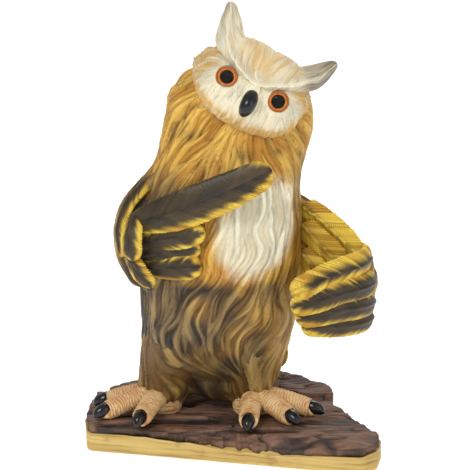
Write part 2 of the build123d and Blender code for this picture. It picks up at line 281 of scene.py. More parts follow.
def rangeStep(tree, value, low, high, outLow=0.0, outHigh=1.0):
    n = tree.nodes.new("ShaderNodeMapRange")
    n.interpolation_type = "SMOOTHSTEP"
    for socket, x in zip(n.inputs, (value, low, high, outLow, outHigh)):
        setSocket(tree, socket, x)
    return n.outputs[0]


def noiseStep(tree, vector, scale, detail=3.0, roughness=0.55):
    n = tree.nodes.new("ShaderNodeTexNoise")
    setSocket(tree, n.inputs["Vector"], vector)
    setSocket(tree, n.inputs["Scale"], scale)
    setSocket(tree, n.inputs["Detail"], detail)
    setSocket(tree, n.inputs["Roughness"], roughness)
    return n.outputs["Fac"]


def objectPlace(tree, stretch=(1, 1, 1)):
    coords = tree.nodes.new("ShaderNodeTexCoord")
    mapping = tree.nodes.new("ShaderNodeMapping")
    mapping.inputs["Scale"].default_value = stretch
    tree.links.new(coords.outputs["Object"], mapping.inputs["Vector"])
    return mapping.outputs[0]


def readValue(tree, name):
    n = tree.nodes.new("ShaderNodeAttribute")
    n.attribute_name = name
    return n.outputs["Fac"]


def makeRelief():
    # Height of fine scratches and pits of cast, brushed paint
    tree, inn, out = newGroup("paintRelief",
                              [("Fine", "NodeSocketFloat", 1400.0), ("Broad", "NodeSocketFloat", 160.0)],
                              [("Height", "NodeSocketFloat"), ("Mottle", "NodeSocketFloat")])
    where = objectPlace(tree)
    fine = noiseStep(tree, where, inn.outputs["Fine"], 4.0)
    broad = noiseStep(tree, where, inn.outputs["Broad"], 4.0)
    tree.links.new(mathStep(tree, "ADD", mathStep(tree, "MULTIPLY", fine, 0.6),
                            mathStep(tree, "MULTIPLY", broad, 0.4)), out.inputs["Height"])
    tree.links.new(broad, out.inputs["Mottle"])
    return tree


def makeWash():
    # Thin dark paint that stays in valleys, and a dry brush of light paint on what stands up
    tree, inn, out = newGroup("washAndBrush",
                              [("Colour", "NodeSocketColor", (0.5, 0.5, 0.5, 1)),
                               ("Groove", "NodeSocketFloat", 0.0), ("Raised", "NodeSocketFloat", 0.0),
                               ("Wash Colour", "NodeSocketColor", (0.05, 0.03, 0.015, 1)),
                               ("Wash", "NodeSocketFloat", 0.7),
                               ("Brush Colour", "NodeSocketColor", (0.8, 0.7, 0.5, 1)),
                               ("Brush", "NodeSocketFloat", 0.3)],
                              [("Colour", "NodeSocketColor"), ("Gloss", "NodeSocketFloat")])
    where = objectPlace(tree)
    patch = noiseStep(tree, where, 55.0, 4.0)
    uneven = rangeStep(tree, patch, 0.3, 0.7, 0.55, 1.0)
    wash = mathStep(tree, "MULTIPLY", mathStep(tree, "MULTIPLY", inn.outputs["Groove"], inn.outputs["Wash"]),
                    uneven, True)
    washed = mixColour(tree, wash, inn.outputs["Colour"], inn.outputs["Wash Colour"])
    held = mathStep(tree, "MULTIPLY", inn.outputs["Raised"], inn.outputs["Brush"])
    brush = mathStep(tree, "MULTIPLY", held,
                     rangeStep(tree, patch, 0.7, 0.35, 0.4, 1.0), True)
    tree.links.new(mixColour(tree, brush, washed, inn.outputs["Brush Colour"]), out.inputs["Colour"])
    tree.links.new(mathStep(tree, "SUBTRACT", 1.0, wash), out.inputs["Gloss"])
    return tree


def makeHairLines():
    # Line holds one value along each strand, so noise of that value alone draws hairs that follow the strands
    tree, inn, out = newGroup("hairLines", [("Line", "NodeSocketFloat", 0.0)],
                              [("Height", "NodeSocketFloat"), ("Valley", "NodeSocketFloat")])
    n = tree.nodes.new("ShaderNodeTexNoise")
    n.noise_dimensions = "1D"
    setSocket(tree, n.inputs["W"], mathStep(tree, "MULTIPLY", inn.outputs["Line"], 5.5))
    n.inputs["Detail"].default_value = 2.0
    n.inputs["Scale"].default_value = 1.0
    tree.links.new(n.outputs["Fac"], out.inputs["Height"])
    patchy = noiseStep(tree, objectPlace(tree), 60.0, 3.0)
    valley = rangeStep(tree, n.outputs["Fac"], 0.42, 0.30)
    tree.links.new(mathStep(tree, "MULTIPLY", valley, rangeStep(tree, patchy, 0.35, 0.6, 0.3, 1.0)),
                   out.inputs["Valley"])
    return tree


paintRelief = makeRelief()
hairLines = makeHairLines()
washAndBrush = makeWash()


def placeGroup(tree, group, **values):
    n = tree.nodes.new("ShaderNodeGroup")
    n.node_tree = group
    for key, value in values.items():
        setSocket(tree, n.inputs[key.replace("_", " ")], value)
    return n


def newMaterial(name, **fixed):
    material = bpy.data.materials.new(name)
    material.use_nodes = True
    tree = material.node_tree
    shader = tree.nodes["Principled BSDF"]
    for key, value in fixed.items():
        setSocket(tree, shader.inputs[key.replace("_", " ")], value)
    return material, tree, shader


def bumpFrom(tree, height, distance, strength=1.0):
    n = tree.nodes.new("ShaderNodeBump")
    n.inputs["Distance"].default_value = distance
    n.inputs["Strength"].default_value = strength
    tree.links.new(height, n.inputs["Height"])
    return n.outputs[0]


def washOver(tree, colour, look, wash, brush, brushName="brush"):
    # dark wash in the grooves and dry brush on what stands up, as the piece's own values say; where a piece
    # adds painted shade to its groove value, the wash lays that shade too
    return placeGroup(tree, washAndBrush, Colour=colour, Groove=readValue(tree, "groove"),
                      Raised=readValue(tree, "raised"), Wash_Colour=look["wash"], Wash=wash,
                      Brush_Colour=look[brushName], Brush=brush)


def finishPaint(tree, shader, colour, height=None, distance=0.0, strength=1.0):
    tree.links.new(colour, shader.inputs["Base Color"])
    if height is not None:
        tree.links.new(bumpFrom(tree, height, distance, strength), shader.inputs["Normal"])


def mottled(tree, low, high, fine, broad):
    # two colours mixed by the paint's own mottle; gives the colour and the relief it came from
    relief = placeGroup(tree, paintRelief, Fine=fine, Broad=broad)
    return mixColour(tree, relief.outputs["Mottle"], low, high), relief


def makePlumagePaint():
    # Ochre over umber; masks on the piece say where it turns pale, smoky or golden
    look = {
        "ochre": (0.50, 0.215, 0.016), "ochreLight": (0.74, 0.44, 0.075), "pale": (0.98, 0.93, 0.72),
        "paleShade": (0.70, 0.62, 0.42), "smoke": (0.018, 0.012, 0.007), "smokeWarm": (0.24, 0.155, 0.058),
        "wash": (0.026, 0.013, 0.004), "brush": (0.82, 0.60, 0.22),
    }
    material, tree, shader = newMaterial("plumagePaint", Roughness=0.55, Specular_IOR_Level=0.35)
    streak = rangeStep(tree, readValue(tree, "streak"), -1.2, 1.2)
    ochre = mixColour(tree, streak, look["ochre"], look["ochreLight"])
    pale = mixColour(tree, streak, look["paleShade"], look["pale"])
    tight = rangeStep(tree, readValue(tree, "streak"), -0.7, 1.3)
    smoke = mixColour(tree, tight, look["smoke"], look["smokeWarm"])
    colour = mixColour(tree, readValue(tree, "pale"), ochre, pale)
    colour = mixColour(tree, readValue(tree, "smoke"), colour, smoke)
    wash = washOver(tree, colour, look, rangeStep(tree, readValue(tree, "pale"), 0.0, 1.0, 0.9, 0.36), 0.12)
    hair = placeGroup(tree, hairLines, Line=readValue(tree, "line"))
    lining = rangeStep(tree, readValue(tree, "pale"), 0.0, 1.0, 0.6, 0.22)
    depth = mathStep(tree, "MULTIPLY", hair.outputs["Valley"], lining)
    lined = mixColour(tree, depth, wash.outputs["Colour"],
                      look["wash"])
    tree.links.new(rangeStep(tree, wash.outputs["Gloss"], 0.0, 1.0, 0.65, 0.45), shader.inputs["Roughness"])
    finishPaint(tree, shader, lined, hair.outputs["Height"], 0.0007, 0.8)
    return material


def makeFacePaint():
    look = {
        "cream": (0.86, 0.78, 0.56), "grey": (0.15, 0.12, 0.075), "tan": (0.62, 0.355, 0.062),
        "wash": (0.10, 0.060, 0.025), "brush": (0.95, 0.90, 0.72),
    }
    material, tree, shader = newMaterial("facePaint", Roughness=0.55, Specular_IOR_Level=0.35)
    streak = rangeStep(tree, readValue(tree, "streak"), -1.3, 1.3)
    colour = mixColour(tree, readValue(tree, "pale"), look["tan"], look["cream"])
    # smoke mixes in grey: grey paint on the face and tufts, and painted shade under the brow ridge
    colour = mixColour(tree, readValue(tree, "smoke"), colour, look["grey"])
    colour = mixColour(tree, mathStep(tree, "MULTIPLY", streak, 0.2), colour, look["brush"])
    wash = washOver(tree, colour, look, 0.6, 0.18)
    hair = placeGroup(tree, hairLines, Line=readValue(tree, "line"))
    lined = mixColour(tree, mathStep(tree, "MULTIPLY", hair.outputs["Valley"], 0.38), wash.outputs["Colour"],
                      look["wash"])
    finishPaint(tree, shader, lined, hair.outputs["Height"], 0.0005, 0.7)
    return material


def makeQuillPaint():
    # Umber feather with a golden fringe, dark shaft and washed barbs
    look = {
        "umber": (0.009, 0.006, 0.003), "umberWarm": (0.050, 0.030, 0.010), "gold": (0.50, 0.25, 0.006),
        "goldLight": (0.92, 0.64, 0.070), "wash": (0.014, 0.008, 0.003), "brush": (0.85, 0.60, 0.14),
    }
    material, tree, shader = newMaterial("quillPaint", Roughness=0.5, Specular_IOR_Level=0.35)
    streak = rangeStep(tree, readValue(tree, "streak"), -1.0, 1.0)
    umber = mixColour(tree, streak, look["umber"], look["umberWarm"])
    gold = mixColour(tree, streak, look["gold"], look["goldLight"])
    colour = mixColour(tree, readValue(tree, "fringe"), umber, gold)
    wash = washOver(tree, colour, look, 0.9, 0.06)
    relief = placeGroup(tree, paintRelief, Fine=1500.0, Broad=260.0)
    tree.links.new(rangeStep(tree, wash.outputs["Gloss"], 0.0, 1.0, 0.6, 0.42), shader.inputs["Roughness"])
    finishPaint(tree, shader, wash.outputs["Colour"], relief.outputs["Height"], 0.0003, 0.4)
    return material


def makeFootPaint():
    look = {
        "orange": (0.48, 0.22, 0.065), "tan": (0.62, 0.38, 0.16), "cream": (0.86, 0.66, 0.38),
        "wash": (0.30, 0.12, 0.035),
    }
    material, tree, shader = newMaterial("footPaint", Roughness=0.5, Specular_IOR_Level=0.4)
    relief = placeGroup(tree, paintRelief, Fine=1300.0, Broad=130.0)
    patches = rangeStep(tree, relief.outputs["Mottle"], 0.38, 0.62)
    colour = mixColour(tree, patches, look["orange"], look["tan"])
    wash = washOver(tree, colour, look, 0.7, 0.75, "cream")
    finishPaint(tree, shader, wash.outputs["Colour"], relief.outputs["Height"], 0.0006, 0.6)
    return material


def makeBlackGloss():
    material, tree, shader = newMaterial("blackGloss", Roughness=0.22, Coat_Weight=0.25, Coat_Roughness=0.08,
                                         Specular_IOR_Level=0.3)
    colour, relief = mottled(tree, (0.003, 0.003, 0.0035), (0.010, 0.009, 0.009), 900.0, 180.0)
    rough = rangeStep(tree, relief.outputs["Mottle"], 0.35, 0.65, 0.16, 0.34)
    tree.links.new(rough, shader.inputs["Roughness"])
    finishPaint(tree, shader, colour, relief.outputs["Height"], 0.0004, 0.35)
    return material


def makeBarkPaint():
    look = {"wash": (0.007, 0.004, 0.003), "brown": (0.065, 0.028, 0.014), "grey": (0.20, 0.100, 0.058),
            "rust": (0.24, 0.085, 0.028)}
    material, tree, shader = newMaterial("barkPaint", Roughness=0.6)
    relief = placeGroup(tree, paintRelief, Fine=900.0, Broad=120.0)
    grainMask = noiseStep(tree, objectPlace(tree, (60, 420, 200)), 1.0, 6.0, 0.65)
    colour = mixColour(tree, rangeStep(tree, grainMask, 0.35, 0.65), look["brown"], look["grey"])
    patches = rangeStep(tree, relief.outputs["Mottle"], 0.55, 0.75, 0.0, 0.5)
    colour = mixColour(tree, patches, colour, look["rust"])
    wash = washOver(tree, colour, look, 1.0, 0.4, "grey")
    finishPaint(tree, shader, wash.outputs["Colour"], grainMask, 0.0012, 0.8)
    return material


def makeSawnPaint():
    look = {"straw": (0.40, 0.255, 0.060), "light": (0.60, 0.43, 0.145), "wash": (0.20, 0.105, 0.025)}
    material, tree, shader = newMaterial("sawnPaint", Roughness=0.6, Specular_IOR_Level=0.3)
    grain = noiseStep(tree, objectPlace(tree, (14, 14, 420)), 1.0, 6.0, 0.6)
    relief = placeGroup(tree, paintRelief, Fine=900.0, Broad=90.0)
    colour = mixColour(tree, rangeStep(tree, grain, 0.35, 0.65), look["straw"], look["light"])
    patches = rangeStep(tree, relief.outputs["Mottle"], 0.56, 0.72, 0.0, 0.5)
    colour = mixColour(tree, patches, colour, look["wash"])
    wash = washOver(tree, colour, look, 0.7, 0.4, "light")
    finishPaint(tree, shader, wash.outputs["Colour"], grain, 0.0006, 0.6)
    return material


def makeIrisPaint():
    material, tree, shader = newMaterial("irisPaint", Roughness=0.6)
    fibre = noiseStep(tree, objectPlace(tree), 900.0, 3.0)
    rim = readValue(tree, "rim")
    colour = mixColour(tree, rangeStep(tree, fibre, 0.35, 0.65), (0.72, 0.15, 0.004), (0.92, 0.30, 0.012))
    colour = mixColour(tree, rangeStep(tree, rim, 0.84, 1.0), colour, (0.34, 0.07, 0.005))
    tree.links.new(colour, shader.inputs["Base Color"])
    return material


def makeEyeGlass():
    return newMaterial("eyeGlass", Base_Color=(1, 1, 1), Roughness=0.0, IOR=1.18, Transmission_Weight=1.0)[0]


def makePupilPaint():
    material, tree, shader = newMaterial("pupilPaint", Roughness=0.9, Specular_IOR_Level=0.1)
    finishPaint(tree, shader, mottled(tree, (0.001, 0.001, 0.0012), (0.003, 0.003, 0.003), 900.0, 180.0)[0])
    return material


def makeLidPaint():
    material, tree, shader = newMaterial("lidPaint", Roughness=0.5)
    colour, relief = mottled(tree, (0.27, 0.085, 0.014), (0.44, 0.16, 0.032), 900.0, 180.0)
    finishPaint(tree, shader, colour, relief.outputs["Height"], 0.0003, 0.5)
    return material


def makePinSteel():
    material, tree, shader = newMaterial("pinSteel", Metallic=1.0, Roughness=0.35)
    colour, relief = mottled(tree, (0.42, 0.42, 0.42), (0.6, 0.6, 0.6), 2500.0, 400.0)
    finishPaint(tree, shader, colour, relief.outputs["Height"], 0.0001, 0.5)
    return material


plumagePaint = makePlumagePaint()
facePaint = makeFacePaint()
quillPaint = makeQuillPaint()
footPaint = makeFootPaint()
blackGloss = makeBlackGloss()
barkPaint = makeBarkPaint()
sawnPaint = makeSawnPaint()
irisPaint = makeIrisPaint()
eyeGlass = makeEyeGlass()
pinSteel = makePinSteel()
pupilPaint = makePupilPaint()
lidPaint = makeLidPaint()
for nodeName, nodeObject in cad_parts.items():
    if nodeName.endswith("_dowel") or nodeName == "leg_pins":
        nodeObject.data.materials.clear()
        nodeObject.data.materials.append(pinSteel)
print("paints mixed")

headTilt = math.radians(26.6)
eyeMiddle = np.array([10.9, -38.0, 222.2])
headRight = np.array([math.cos(headTilt), 0, -math.sin(headTilt)])
headUp = np.array([math.sin(headTilt), 0, math.cos(headTilt)])


def headPoint(right, up, forward):
    # right and up across the tilted face, forward out of it
    right, up, forward = (np.asarray(x, float)[..., None] for x in (right, up, forward))
    return eyeMiddle + right * headRight + up * headUp + forward * np.array([0, -1.0, 0])


bodySections = [  # height, middle x, middle y, half width, half depth
    (22, -12.5, 7, 20, 18), (32, -12.5, 5, 36, 29), (46, -12, 2, 45, 37), (62, -10.8, 1, 49.5, 43),
    (82, -9.8, 1, 52.3, 46), (107, -9.5, 0, 53, 47), (132, -8.0, 0, 51.5, 46.5), (157, -5.6, 1, 48.5, 44),
    (175, -2.0, 2, 48.0, 40), (188, 1.2, 3, 48.3, 37), (200, 2.6, 3.5, 48.0, 36), (212, 3.0, 4, 45.2, 35),
    (222, 3.2, 5, 38.5, 32), (229, 3.0, 6, 29, 26), (234, 2, 6, 15, 15),
]
legSections = {
    "right": [(4, -49, 2, 14.5, 13.5), (12, -48, 3, 17.5, 16.5), (24, -44.5, 3, 20, 20),
              (42, -38.5, 1, 23.5, 27),
              (62, -33, 0, 24, 32)],
    "left": [(4, 12, -2, 12, 12), (12, 11.5, -1, 14.5, 14.5), (24, 11.5, -1, 17.5, 18.5),
             (42, 12.5, -2, 21, 26),
             (62, 13, -1, 22, 31)],
}
armPath = {
    "right": [(-36, 4, 152, 15, 15), (-49, 0, 143, 17.5, 16), (-59, -7, 130, 18, 15),
              (-62, -15, 113, 15.5, 13.5), (-59, -23, 98, 10.5, 9.5)],
}


def sectionField(table):
    # distance-like field of stacked ellipses: radius of the point in its own ellipse, less one,
    # times the smaller half axis; sections run on smoothly between the rows
    dense = curveThrough(table, 60)
    order = np.argsort(dense[:, 0])
    dense = dense[order]

    def field(p):
        z = p[..., 2]
        cx, cy, a, b = (np.interp(z, dense[:, 0], dense[:, k]) for k in (1, 2, 3, 4))
        past = np.maximum(z - dense[-1, 0], 0) + np.maximum(dense[0, 0] - z, 0)
        k = np.sqrt(((p[..., 0] - cx) / a) ** 2 + ((p[..., 1] - cy) / b) ** 2
                    + (past / np.minimum(a, b)) ** 2)
        return (k - 1) * np.minimum(a, b)

    return field


def chainField(table):
    # union of balls along a path, each squashed in y to its own half depth
    dense = curveThrough(table, 24)

    def field(p):
        best = None
        for x, y, z, w, d in dense:
            k = np.sqrt((p[..., 0] - x) ** 2 + ((p[..., 1] - y) * w / d) ** 2 + (p[..., 2] - z) ** 2) - w
            best = k if best is None else np.minimum(best, k)
        return best

    return field


def blendFields(fields, soft):
    # polynomial smooth minimum, soft millimetres wide
    def field(p):
        total = fields[0](p)
        for other in fields[1:]:
            b = other(p)
            h = np.maximum(soft - np.abs(total - b), 0) / soft
            total = np.minimum(total, b) - h * h * soft / 4
        return total

    return field


def shrunk(field, by):
    return lambda p: field(p) + by


def castOut(field, origins, directions, reach):
    # the point on each ray where the field turns positive, by halving the range 22 times
    low = np.zeros(origins.shape[:-1])
    high = np.full(origins.shape[:-1], float(reach))
    for _ in range(22):
        mid = (low + high) / 2
        inside = field(origins + directions * mid[..., None]) < 0
        low = np.where(inside, mid, low)
        high = np.where(inside, high, mid)
    return origins + directions * ((low + high) / 2)[..., None]


bodyField = sectionField(bodySections)
legFields = {side: sectionField(table) for side, table in legSections.items()}
armField = chainField(armPath["right"])
tuck = 2.5  # how far a neighbour is drawn back inside a skin that it blends into
blendWidth = 13


def buildFlow(P, away=1.0):
    # strand direction on the body: down, fanning away from the face, turned by slow and quick waves
    n = gridNormals(P)
    down = np.zeros_like(P) + np.array([0.0, 0.0, -1.0])
    fromFace = P - np.array([10.0, -30.0, 212.0])
    reach = np.exp(-np.maximum(np.linalg.norm(fromFace, axis=-1) - 30, 0) / 34)[..., None]
    flow = down + away * 2.2 * reach * unit(fromFace)
    flow = onSkin(flow, n)
    low = smoothstep(120, 50, P[..., 2])
    turn = (0.32 + 0.6 * low) * cellNoise(P, 36, 3) + (0.55 + 0.3 * low) * cellNoise(P, 15, 4)
    return turnedOnSkin(flow, n, turn)


def furRelief(P, flow, seed, depth=1.0, locks=6.5):
    # broad locks, strands and fine strands, each a combed noise folded into rounded ridges
    lock = combed(P, flow, locks, 64, seed)
    strand = combed(P, flow, 2.9, 46, seed + 1)
    fine = combed(P, flow, 1.7, 26, seed + 2)
    height = depth * (1.15 * strandRidges(lock, 0.6) + 0.45 * np.tanh(lock)
                      + 0.75 * strandRidges(strand, 0.45)
                      + 0.35 * strandRidges(fine, 0.5) - 1.5)
    groove = np.clip(0.60 * np.exp(-(lock / 0.22) ** 2) + 0.70 * np.exp(-(strand / 0.20) ** 2)
                     + 0.30 * np.exp(-(fine / 0.22) ** 2), 0, 1)
    raised = np.clip(strandRidges(strand, 0.9) * strandRidges(lock, 1.0), 0, 1)
    streak = 0.8 * strand + 0.45 * lock + 0.35 * fine
    return height, groove, raised, streak, lock + 0.8 * strand


def bodyMasks(P):
    # where the plumage is pale (breast) and smoky (belly, thighs, arm), from place and ragged noise
    x, y, z = P[..., 0], P[..., 1], P[..., 2]
    rag = 6 * cellNoise(P, 16, 21) + 3 * cellNoise(P, 6, 22)
    front = smoothstep(-8, -28, y)
    breast = 1 - np.hypot((x - 14 - (z - 125) * 0.20) / 24, (z - 130) / 33) - rag / 55
    pale = front * smoothstep(-0.22, 0.22, breast)
    blotch = np.tanh(cellNoise(P, 20, 23) * 2.4)
    smokeLow = smoothstep(112, 88, z + rag * 1.5) * np.clip(0.84 + 0.22 * blotch, 0, 1)
    smokeLow = smokeLow * (1 - 0.40 * smoothstep(16, 34, x + rag))
    warm = np.exp(-((x - 14) / 12) ** 2 - ((z - 74) / 16) ** 2) * 0.5
    flank = smoothstep(-18, -42, x + rag) * smoothstep(174, 146, z + 0.4 * rag) * 0.9
    armpit = smoothstep(24, 36, x + 0.4 * rag) * smoothstep(172, 156, z) * smoothstep(104, 124, z) * 0.55
    flank = np.maximum(flank, armpit)
    back = smoothstep(8, 34, y) * 0.45 * (1 + cellNoise(P, 14, 24))
    smoke = np.clip(np.maximum.reduce([smokeLow - warm * front, flank, back]) - pale, 0, 1)
    return pale, smoke


def crotchShade(P):
    # painted shade: the fold between the legs and under the belly, where shade falls, is darkened nearly to
    # black
    x, y, z = P[..., 0], P[..., 1], P[..., 2]
    return np.exp(-(((x + 17) / 17) ** 4) - ((z - 18) / 30) ** 4) * smoothstep(20, -10, y)


bodyLook = {"columns": 364, "step": 0.92, "neck": 187.0, "reach": 130.0}


def buildBody():
    # rays from the spine: a fan below, level rings up the back, a fan over the crown
    low, high = np.array([-12.0, 4.0, 44.0]), np.array([3.0, 4.0, 204.0])
    around = np.linspace(0, 2 * math.pi, bodyLook["columns"], endpoint=False)
    fanLow = np.linspace(-math.pi / 2 + 0.02, 0, 74)[:-1]
    rise = np.arange(low[2], high[2], bodyLook["step"])
    fanHigh = np.linspace(0, math.pi / 2 - 0.02, 62)[1:]
    lift = np.r_[fanLow, np.zeros(len(rise)), fanHigh]
    height = np.r_[np.full(len(fanLow), low[2]), rise, np.full(len(fanHigh), high[2])]
    spine = curveThrough([(r[1], r[2], r[0]) for r in bodySections], 200)
    cx = np.interp(height, spine[:, 2], spine[:, 0])
    cy = np.interp(height, spine[:, 2], spine[:, 1])
    origins = np.stack([cx, cy, height], -1)[:, None, :] + np.zeros((1, len(around), 1))
    flat = np.stack([np.sin(around), -np.cos(around), np.zeros_like(around)], -1)[None]
    directions = flat * np.cos(lift)[:, None, None] + np.array([0, 0, 1.0]) * np.sin(lift)[:, None, None]
    field = blendFields([bodyField, shrunk(legFields["right"], tuck), shrunk(legFields["left"], tuck),
                         shrunk(armField, tuck)], blendWidth)
    P = castOut(field, origins, directions, bodyLook["reach"])
    flow = buildFlow(P)
    relief, groove, raised, streak, line = furRelief(P, flow, 11)
    calm = smoothstep(0.0, 0.12, np.minimum(lift + math.pi / 2, math.pi / 2 - lift))[:, None]
    n = gridNormals(P)
    outwards = np.sign((n * directions).sum()) or 1
    away = P - eyeMiddle
    right, up, forward = (away * headRight).sum(-1), (away * headUp).sum(-1), -away[..., 1]
    underCrest = smoothstep(5, 13, up) * smoothstep(-38, -28, forward) * smoothstep(36, 26, np.abs(right))
    Q = P + n * outwards * (relief * calm * (1 - underCrest) - 6 * underCrest)[..., None]
    pale, smoke = bodyMasks(P)
    shade = crotchShade(P)
    # the groove value also carries the crotch's painted shade, so the wash darkens the fold and the dry brush
    # keeps off it
    values = {"groove": np.clip(groove * calm + shade, 0, 1), "raised": raised * (1 - shade),
              "streak": streak,
              "line": line, "pale": pale, "smoke": smoke}
    neckRow = int(np.searchsorted(height, bodyLook["neck"]))
    skin = outwardNormals(Q, directions)
    for name, node, cut in (("torsoPlumage", "torso", slice(0, neckRow + 1)),
                            ("headPlumage", "head", slice(neckRow, None))):
        addPiece(name, Q[cut], plumagePaint, [node], {k: v[cut] for k, v in values.items()},
                 flatCaps=True, normals=skin[cut])


def buildLeg(side):
    table = legSections[side]
    around = np.linspace(0, 2 * math.pi, 150, endpoint=False)
    height = np.r_[np.linspace(3.0, 62, 74)]
    dense = curveThrough(table, 80)
    cx = np.interp(height, dense[:, 0], dense[:, 1])
    cy = np.interp(height, dense[:, 0], dense[:, 2])
    origins = np.stack([cx, cy, height], -1)[:, None, :] + np.zeros((1, len(around), 1))
    flat = np.stack([np.sin(around), -np.cos(around), np.zeros_like(around)], -1)[None]
    directions = flat + np.zeros_like(origins)
    field = blendFields([legFields[side], shrunk(bodyField, tuck)], blendWidth)
    P = castOut(field, origins, directions, 34.0)
    flow = buildFlow(P, 0.0)
    relief, groove, raised, streak, line = furRelief(P, flow, 31 if side == "right" else 41, 0.8)
    hem = smoothstep(12, 3, height)[:, None]
    n = gridNormals(P)
    outwards = np.sign((n * directions).sum())
    sink = 3.5 * smoothstep(44, 60, height)[:, None]
    Q = P + n * outwards * (relief - 1.5 * hem - sink)[..., None]
    drop = 3.5 * cellNoise(P * np.array([1, 1, 0.0]), 5, 55) * hem
    Q[..., 2] = np.maximum(Q[..., 2] + drop, 1.0)
    pale, smoke = bodyMasks(P)
    shade = crotchShade(P)
    # the groove value also carries the crotch's painted shade, so the wash darkens the fold and the dry brush
    # keeps off it
    values = {"groove": np.clip(groove + shade, 0, 1), "raised": raised * (1 - shade), "streak": streak,
              "line": line, "pale": pale * 0, "smoke": np.clip(smoke * 0.85, 0, 1)}
    addPiece(f"legPlumage.{side}", Q, plumagePaint, [f"leg_{side}"], values)


buildBody()
print("body done")
for side in ("right", "left"):
    buildLeg(side)
print("legs done")



def frameAlong(centre, facing):
    # tangent, face normal and sideways vector at each point of a centre line
    t = unit(np.gradient(centre, axis=0))
    n = np.asarray(facing, float) + np.zeros_like(centre)
    n = unit(n - (n * t).sum(-1, keepdims=True) * t)
    return t, n, np.cross(t, n)


featherLook = {"rows": 170, "columns": 72, "barbPitch": 1.7, "barbDepth": 0.42, "shaft": 0.9,
               "sweep": 1.15, "camber": 1.2}


def buildFeather(name, points, halfWidths, facing, nodes, seed, thick=2.6, fringe=0.0, low=0.0, rows=None):
    # a lens section carried along a curve: half width follows halfWidths and closes in a half circle,
    # barbs are slanted waves on both faces, a shaft stands up the middle
    rows = rows or featherLook["rows"]
    centre = evenly(curveThrough(np.c_[points, halfWidths], 240), rows)
    line, w = centre[:, :3], centre[:, 3]
    length = np.linalg.norm(np.diff(line, axis=0), axis=1).sum()
    s = np.linspace(0, 1, rows)
    run = s * length
    tipRound = np.clip((length - run) / np.maximum(w, 1), 0, 1)
    rootRound = np.clip(run / 4 + 0.35, 0, 1)
    w = w * np.sqrt(1 - (1 - tipRound) ** 2) * rootRound + 0.15
    t, n, side = frameAlong(line, facing)
    angle = np.linspace(0, 2 * math.pi, featherLook["columns"], endpoint=False)
    across = np.cos(angle)[None, :]
    lens = np.sign(np.sin(angle)) * np.abs(np.sin(angle)) ** 0.75
    body = thick * (1 - 0.45 * s)[:, None] * np.clip(w / 3, 0.2, 1)[:, None] * lens[None, :]
    barbRun = run[:, None] - featherLook["sweep"] * np.abs(across) * w[:, None]
    where = np.stack([barbRun, np.sign(across) * 40 + 0 * barbRun, 0 * barbRun + seed * 9.0], -1)
    jitter = 0.9 * cellNoise(where, 7.0, seed) + 0.45 * cellNoise(where, 2.6, seed + 4)
    phase = 2 * math.pi * (barbRun / featherLook["barbPitch"] + jitter)
    wave = 0.5 + 0.5 * np.cos(phase)
    off = smoothstep(0.10, 0.26, np.abs(across) + 0 * wave)
    groove = wave**2.5 * off
    tuft = cellNoise(where, 2.2, seed + 1)
    edge = smoothstep(0.7, 1.0, np.abs(across) + 0 * wave)
    wide = w[:, None] * (1 + 0.045 * edge * (tuft - groove))
    shaft = featherLook["shaft"] * (1 - 0.7 * s)[:, None] * np.exp(-(across * w[:, None] / 1.0) ** 2)
    sign = np.sign(lens)[None, :]
    barbs = featherLook["barbDepth"] * groove * (1 - edge * 0.5)
    height = body + sign * (shaft - barbs) * np.abs(lens)[None, :] ** 0.5
    height = height - featherLook["camber"] * across**2
    P = (line[:, None, :] + side[:, None, :] * (across * wide)[..., None] + n[:, None, :] * height[..., None])
    toTip = smoothstep(0.78, 1.0, s)[:, None]
    sideShift = low * across
    gold = smoothstep(0.48, 0.98, np.abs(across) + 0.45 * toTip + 0.20 * tuft + 0.12 * (wave - 0.5) + fringe
                      + sideShift)
    beside = np.exp(-((np.abs(across) * w[:, None] - 1.6) / 0.7) ** 2)
    values = {
        "groove": np.clip(groove + 0.6 * beside, 0, 1) * 0.9,
        "raised": (1 - wave) * off, "streak": 1.2 * cellNoise(where, 5.0, seed + 2) + 0.6 * tuft,
        "fringe": gold,
    }
    return addPiece(name, P, quillPaint, nodes, values)


